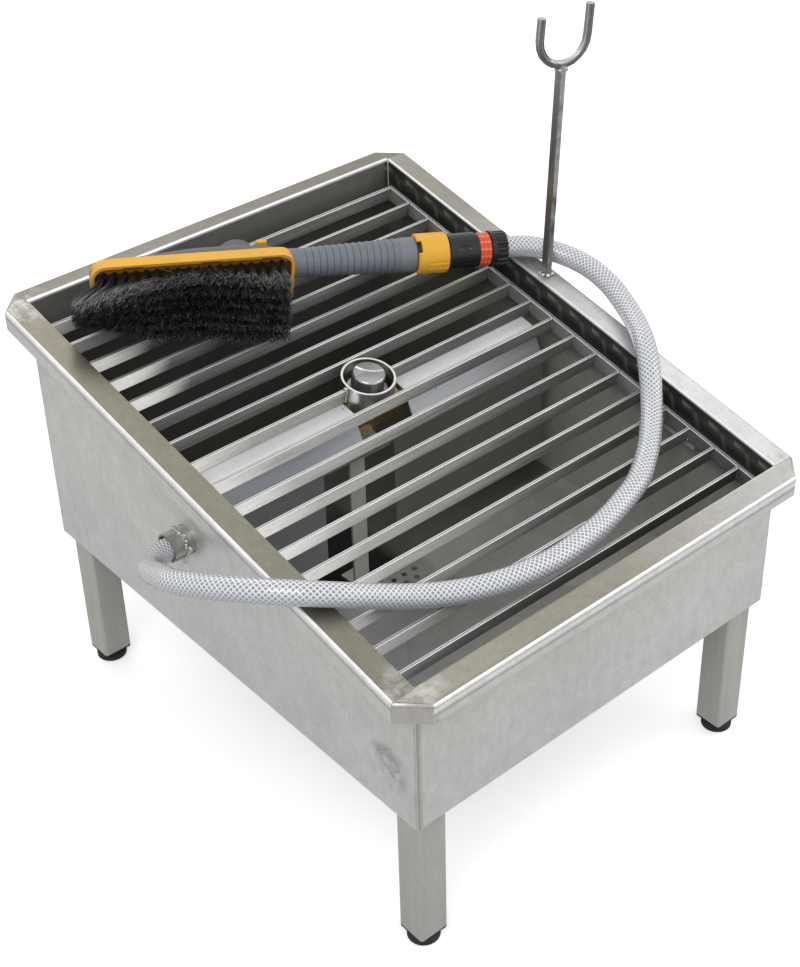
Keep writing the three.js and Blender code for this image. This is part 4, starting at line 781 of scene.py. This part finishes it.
def strand_points(rng, along, across, lean, target, pitch, gap):
    """Four points of a strand from root to tip, its tip before the curl, and its place across the tuft."""
    angle, radius = rng.uniform(0, 2 * math.pi), math.sqrt(rng.random())
    dx, dz = radius * math.cos(angle), radius * math.sin(angle)
    base = Vector((along + TUFT_RADIUS * dx, STRAND_ROOT, across + TUFT_RADIUS * dz))
    x = along - lean + pitch * 0.62 * dx + rng.gauss(0, 0.0012)
    z = target + gap * 0.50 * dz + rng.gauss(0, 0.0012)
    out_x, out_z = x - base.x, z - base.z
    reach = math.sqrt(max(STRAND_LENGTH ** 2 - out_x ** 2 - out_z ** 2, 0.0009))
    tip = Vector((x, STRAND_ROOT - reach - rng.gauss(0, 0.0022) + 0.0055 * dz * dz, z))
    curl = Vector((rng.gauss(0, 0.0007), rng.gauss(0, 0.0004), rng.gauss(0, 0.0007)))
    points = (
        base,
        base.lerp(tip, 0.42) + Vector((-0.10 * out_x, 0, -0.20 * out_z)),
        base.lerp(tip, 0.86) + curl + Vector((0, 0, -0.07 * out_z)),
        tip - curl * 0.6,
    )
    return points, tip, dz


def strand_tones(rng, tip, dz, row, share, tuft_tone):
    """Tone at the bend and at the tip of a strand, lighter on the upper rows, with painted highlights at
    the tips and painted shade in the furrows between rows, and how strongly its end is speckled with
    painted glints.
    """
    glint = rng.random()
    clump = 0.5 + 0.9 * noise.noise(tip * 330)
    # Painted shade in the furrows between rows
    ridge = max(0, 1 - 1.3 * dz * dz) ** 1.5
    lit = 1.3 if glint < 0.4 else 0.25
    tip_tone = ridge * max(0, clump - 0.25) ** 1.6 * (0.5 + 0.5 * tuft_tone) * lit
    light = rng.uniform(1.0, 1.8) if rng.random() < 0.55 else rng.uniform(0.05, 0.3)
    upper = (row == TUFT_ROWS - 1) * light + (row == TUFT_ROWS - 2) * 0.3 * light
    tip_tone += upper * (1 - 0.5 * share)
    middle_tone = 0.03 + 0.55 * upper * (1 - 0.4 * share)
    return 0.75 * middle_tone + 0.2 * tip_tone, min(1, tip_tone), ridge


def make_bristles():
    """Rows of tufts set in the head, fanned out and leaning to its free end as they lie on the bars."""
    rng = random.Random(7)
    left, right = HEAD_END - HEAD_LENGTH + TUFT_INSET, HEAD_END - TUFT_INSET
    half = HEAD_WIDTH / 2 - TUFT_INSET
    pitch = (right - left) / TUFT_COLUMNS
    verts, faces, tones, grains = [], [], [], []
    for column in range(TUFT_COLUMNS):
        share = (column + 0.5) / TUFT_COLUMNS
        lean = 0.008 + 0.022 * (1 - share) ** 1.5
        low, high = tips_at(share)
        gap = (high - low) / TUFT_ROWS
        for row in range(TUFT_ROWS):
            across = -half + 2 * half * (row + 0.5) / TUFT_ROWS
            along = left + (right - left) * share
            target = low + (high - low) * (row + 0.5) / TUFT_ROWS
            tuft_tone = rng.random()
            for _ in range(TUFT_STRANDS):
                points, tip, dz = strand_points(rng, along, across, lean, target, pitch, gap)
                width = rng.uniform(0.00026, 0.00036)
                turn = rng.uniform(0, 2 * math.pi)
                start = len(verts)
                for p, w in zip(points, (width, width, width * 0.9, width * 0.55)):
                    for k in range(STRAND_SIDES):
                        a = turn + 2 * math.pi * k / STRAND_SIDES
                        verts.append(p + Vector((w * math.cos(a), 0, w * math.sin(a))))
                # Painted highlights at the tips and painted shade in the furrows, carried by the tone and
                # grain of each point
                bend_tone, tip_tone, ridge = strand_tones(rng, tip, dz, row, share, tuft_tone)
                tones += [tone for tone in (0.02, 0.03, bend_tone, tip_tone) for _ in range(STRAND_SIDES)]
                grains += [grain for grain in (0, 0, 0.45 * ridge, ridge) for _ in range(STRAND_SIDES)]
                for ring in range(len(points) - 1):
                    for k in range(STRAND_SIDES):
                        a = start + ring * STRAND_SIDES + k
                        b = start + ring * STRAND_SIDES + (k + 1) % STRAND_SIDES
                        faces.append((a, b, b + STRAND_SIDES, a + STRAND_SIDES))
                faces.append(tuple(range(len(verts) - STRAND_SIDES, len(verts))))
    tufts = piece("bristle_tufts", [BRUSH @ v for v in verts], faces, bristle_material())
    for name, values in (("tone", tones), ("grain", grains)):
        tufts.data.attributes.new(name, "FLOAT", "POINT").data.foreach_set("value", values)
    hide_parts("bristles")
    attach(tufts, "brush")


make_bristles()


def make_beads(name, beads, body):
    """Uneven beads of weld metal: each is a centre and its three half-widths."""
    made = bmesh.new()
    for centre, widths in beads:
        grown = bmesh.ops.create_icosphere(made, subdivisions=2, radius=1.0)
        for v in grown["verts"]:
            lump = 1 + 0.28 * noise.noise(v.co * 1.9 + centre * 900)
            v.co = Vector(v.co[i] * widths[i] * lump for i in range(3)) + centre
    mesh = bpy.data.meshes.new(name)
    made.to_mesh(mesh)
    made.free()
    mesh.materials.append(weld_steel)
    mesh.shade_smooth()
    welds = show(name, mesh)
    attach(welds, body)


def grate_beads():
    """Beads where the bars meet the side bars, and down both sides of the valve ring."""
    beads = []
    bar_places = [BACK_BAR - number * BAR_PITCH for number in range(17)] + [FRONT_BAR]
    for place in bar_places:
        for side in (-1, 1):
            x = side * BAR_END_X
            beads.append((SLOPE @ Vector((x, place, -0.0204)), (0.0013, 0.0019, 0.0010)))
            for face in (-1, 1):
                centre = SLOPE @ Vector((x, place + face * 0.0016, -0.0275))
                beads.append((centre, (0.0010, 0.0009, 0.0062)))
    for side in (-1, 1):
        x = VALVE_X + side * 0.0262
        beads.append((SLOPE @ Vector((x, VALVE_RISE, -0.0196)), (0.0026, 0.0028, 0.0016)))
        for face in (-1, 1):
            for k in range(6):
                centre = SLOPE @ Vector((x, VALVE_RISE + face * 0.0018, -0.021 - k * 0.0026))
                beads.append((centre, (0.0014, 0.0013, 0.0017)))
    return beads


def tub_beads():
    """Beads round the hose socket, round the hook's foot and fork, and down the tub's inner corners."""
    rng = random.Random(11)
    beads = []
    count = 30
    for k in range(count):
        a = 2 * math.pi * k / count
        out = 0.0139 + rng.uniform(-0.0003, 0.0006)
        x = -0.2225 + rng.uniform(-0.0009, 0.0009)
        centre = spot(x, SOCKET_Y + out * math.cos(a), SOCKET_Z + out * math.sin(a))
        size = rng.uniform(0.0014, 0.0025)
        beads.append((centre, (size * 0.9, size, size)))
    for a, reach in ((3.0, 0.0052), (4.4, 0.0060), (4.9, 0.0045), (2.2, 0.0038)):
        centre = spot(-0.2215, SOCKET_Y + 0.0163 * math.cos(a), SOCKET_Z + 0.0163 * math.sin(a))
        beads.append((centre, (0.0020, reach * 0.55 + 0.0008, reach * 0.75)))
    foot = spot(0.225, 0.0416, 0.3779)
    for x, y, size in (
        (-5.2, -1.0, 2.5), (-2.6, -5.2, 2.8), (3.2, -5.0, 2.9),
        (5.4, 0.6, 2.2), (0.4, 5.2, 2.4), (-4.4, 3.8, 2.0),
    ):
        beads.append((foot + Vector((x, y, 0.6)) * MM, (size * MM, size * MM, size * 0.8 * MM)))
    fork = spot(0.231, 0.0356, 0.5925)
    for x, y, size in ((-4.0, -2.4, 1.8), (3.6, -3.0, 2.1), (4.2, 2.0, 1.7), (-3.4, 3.0, 1.7)):
        beads.append((fork + Vector((x, y, 0)) * MM, (size * MM, size * MM, size * 1.3 * MM)))
    for side_x in (-1, 1):
        for side_y in (-1, 1):
            y = side_y * 0.2638
            rim = FRONT_RIM + (y - FRONT_Y) * math.tan(TILT)
            for k in range(16):
                beads.append((spot(side_x * 0.2113, y, rim - 0.003 - k * 0.0022), (0.0012, 0.0012, 0.0016)))
    return beads


make_beads("grate_welds", grate_beads(), "grate")
make_beads("tub_welds", tub_beads(), "tub")

WELD_GAP = 0.005 * MM
SHARP_ANGLE = math.radians(33)


def soften(name, width, angle=35, segments=2):
    """Bevels the edges of a CAD part that are sharper than an angle."""
    modifiers = nodes[name].modifiers
    modifiers.new("weld", "WELD").merge_threshold = WELD_GAP
    bevel = modifiers.new("bevel", "BEVEL")
    bevel.width = width
    bevel.segments = segments
    bevel.limit_method = "ANGLE"
    bevel.angle_limit = math.radians(angle)
    bevel.harden_normals = False


def rounding():
    """A node group that shades faces smooth and keeps the sharper edges."""
    group = bpy.data.node_groups.new("rounding", "GeometryNodeTree")
    for in_out in ("INPUT", "OUTPUT"):
        group.interface.new_socket("Geometry", in_out=in_out, socket_type="NodeSocketGeometry")
    n = Nodes(group)
    bend = n.node("GeometryNodeInputMeshEdgeAngle", out="Unsigned Angle")
    sharp = n.node("FunctionNodeCompare", {"A": bend, "B": SHARP_ANGLE}, operation="GREATER_THAN")
    shape = n.node("NodeGroupInput")
    shape = n.node("GeometryNodeMergeByDistance", {"Geometry": shape, "Distance": WELD_GAP})
    shape = n.node("GeometryNodeSetShadeSmooth", {"Geometry": shape})
    edges = {"Geometry": shape, "Selection": sharp, "Shade Smooth": False}
    shape = n.node("GeometryNodeSetShadeSmooth", edges, domain="EDGE")
    n.feed(group.nodes.new("NodeGroupOutput").inputs[0], shape)
    return group


for name in bars + side_bars:
    soften(name, 0.0004)
soften("brush_hook", 0.0016, 60, 4)
soften("brush_frame", 0.0007, 50, 3)
soften("brush_latch", 0.0010, 50, 3)
round_off = rounding()
for name in (
    "wall_front", "wall_back", "wall_left", "wall_right", "valve_ring", "valve_collar", "valve_button",
    "valve_body", "splash_guard", "hose_socket", "supply_pipe", "brush_hook", "brush_body", "brush_knob",
    "brush_frame", "brush_latch", "brush_handle", "brush_sleeve", "hose_connector", "lock_ring",
    "hose_nut", "drain_outlet", *legs, *leg_caps, *feet,
):
    nodes[name].modifiers.new("rounding", "NODES").node_group = round_off
    weight = nodes[name].modifiers.new("weight", "WEIGHTED_NORMAL")
    weight.weight = 80
    weight.keep_sharp = True


def make_floor():
    """A floor that the camera sees as white and that lights the part like grey paper."""
    reach = 8
    s = Shade("floor", Roughness=0.9)
    seen = s.node("ShaderNodeLightPath", out="Is Camera Ray")
    s.put("Base Color", s.mix(seen, (0.75, 0.75, 0.75), (0.97, 0.97, 0.97)))
    s.put("Emission Color", (1, 1, 1, 1))
    s.put("Emission Strength", s.times(seen, 0.46))
    sheet = [(-reach, -reach, 0), (reach, -reach, 0), (reach, reach, 0), (-reach, reach, 0)]
    piece("floor", sheet, [(0, 1, 2, 3)], s.mat)


def make_world():
    """White to the eye and in reflections, and dimmer as a light."""
    world = bpy.data.worlds.new("world")
    world.use_nodes = True
    n = Nodes(world.node_tree)
    camera, glossy, through = (n.node("ShaderNodeLightPath", out=f"Is {kind} Ray")
                               for kind in ("Camera", "Glossy", "Transmission"))
    back = n.tree.nodes["Background"]
    n.feed(back.inputs["Strength"], n.span(n.most(n.most(camera, glossy), through), 0.0, 1.0, 0.55, 1.0))
    n.feed(back.inputs["Color"], (1, 1, 1, 1))
    bpy.context.scene.world = world


def make_lamps():
    aim = Vector((0, 0, 0.25))
    for name, place, size, power in (
        ("key", (-1.6, -1.2, 2.6), 1.6, 26),
        ("fill", (1.8, -1.6, 1.8), 2.0, 14),
        ("rear", (0.4, 2.2, 2.4), 2.0, 12),
    ):
        data = bpy.data.lights.new(name, "AREA")
        data.size = size
        data.energy = power
        turn = (aim - Vector(place)).to_track_quat("-Z", "Y").to_matrix().to_4x4()
        show(name, data).matrix_world = Matrix.Translation(place) @ turn


make_floor()
make_world()
make_lamps()
bpy.context.scene.view_settings.view_transform = "Standard"
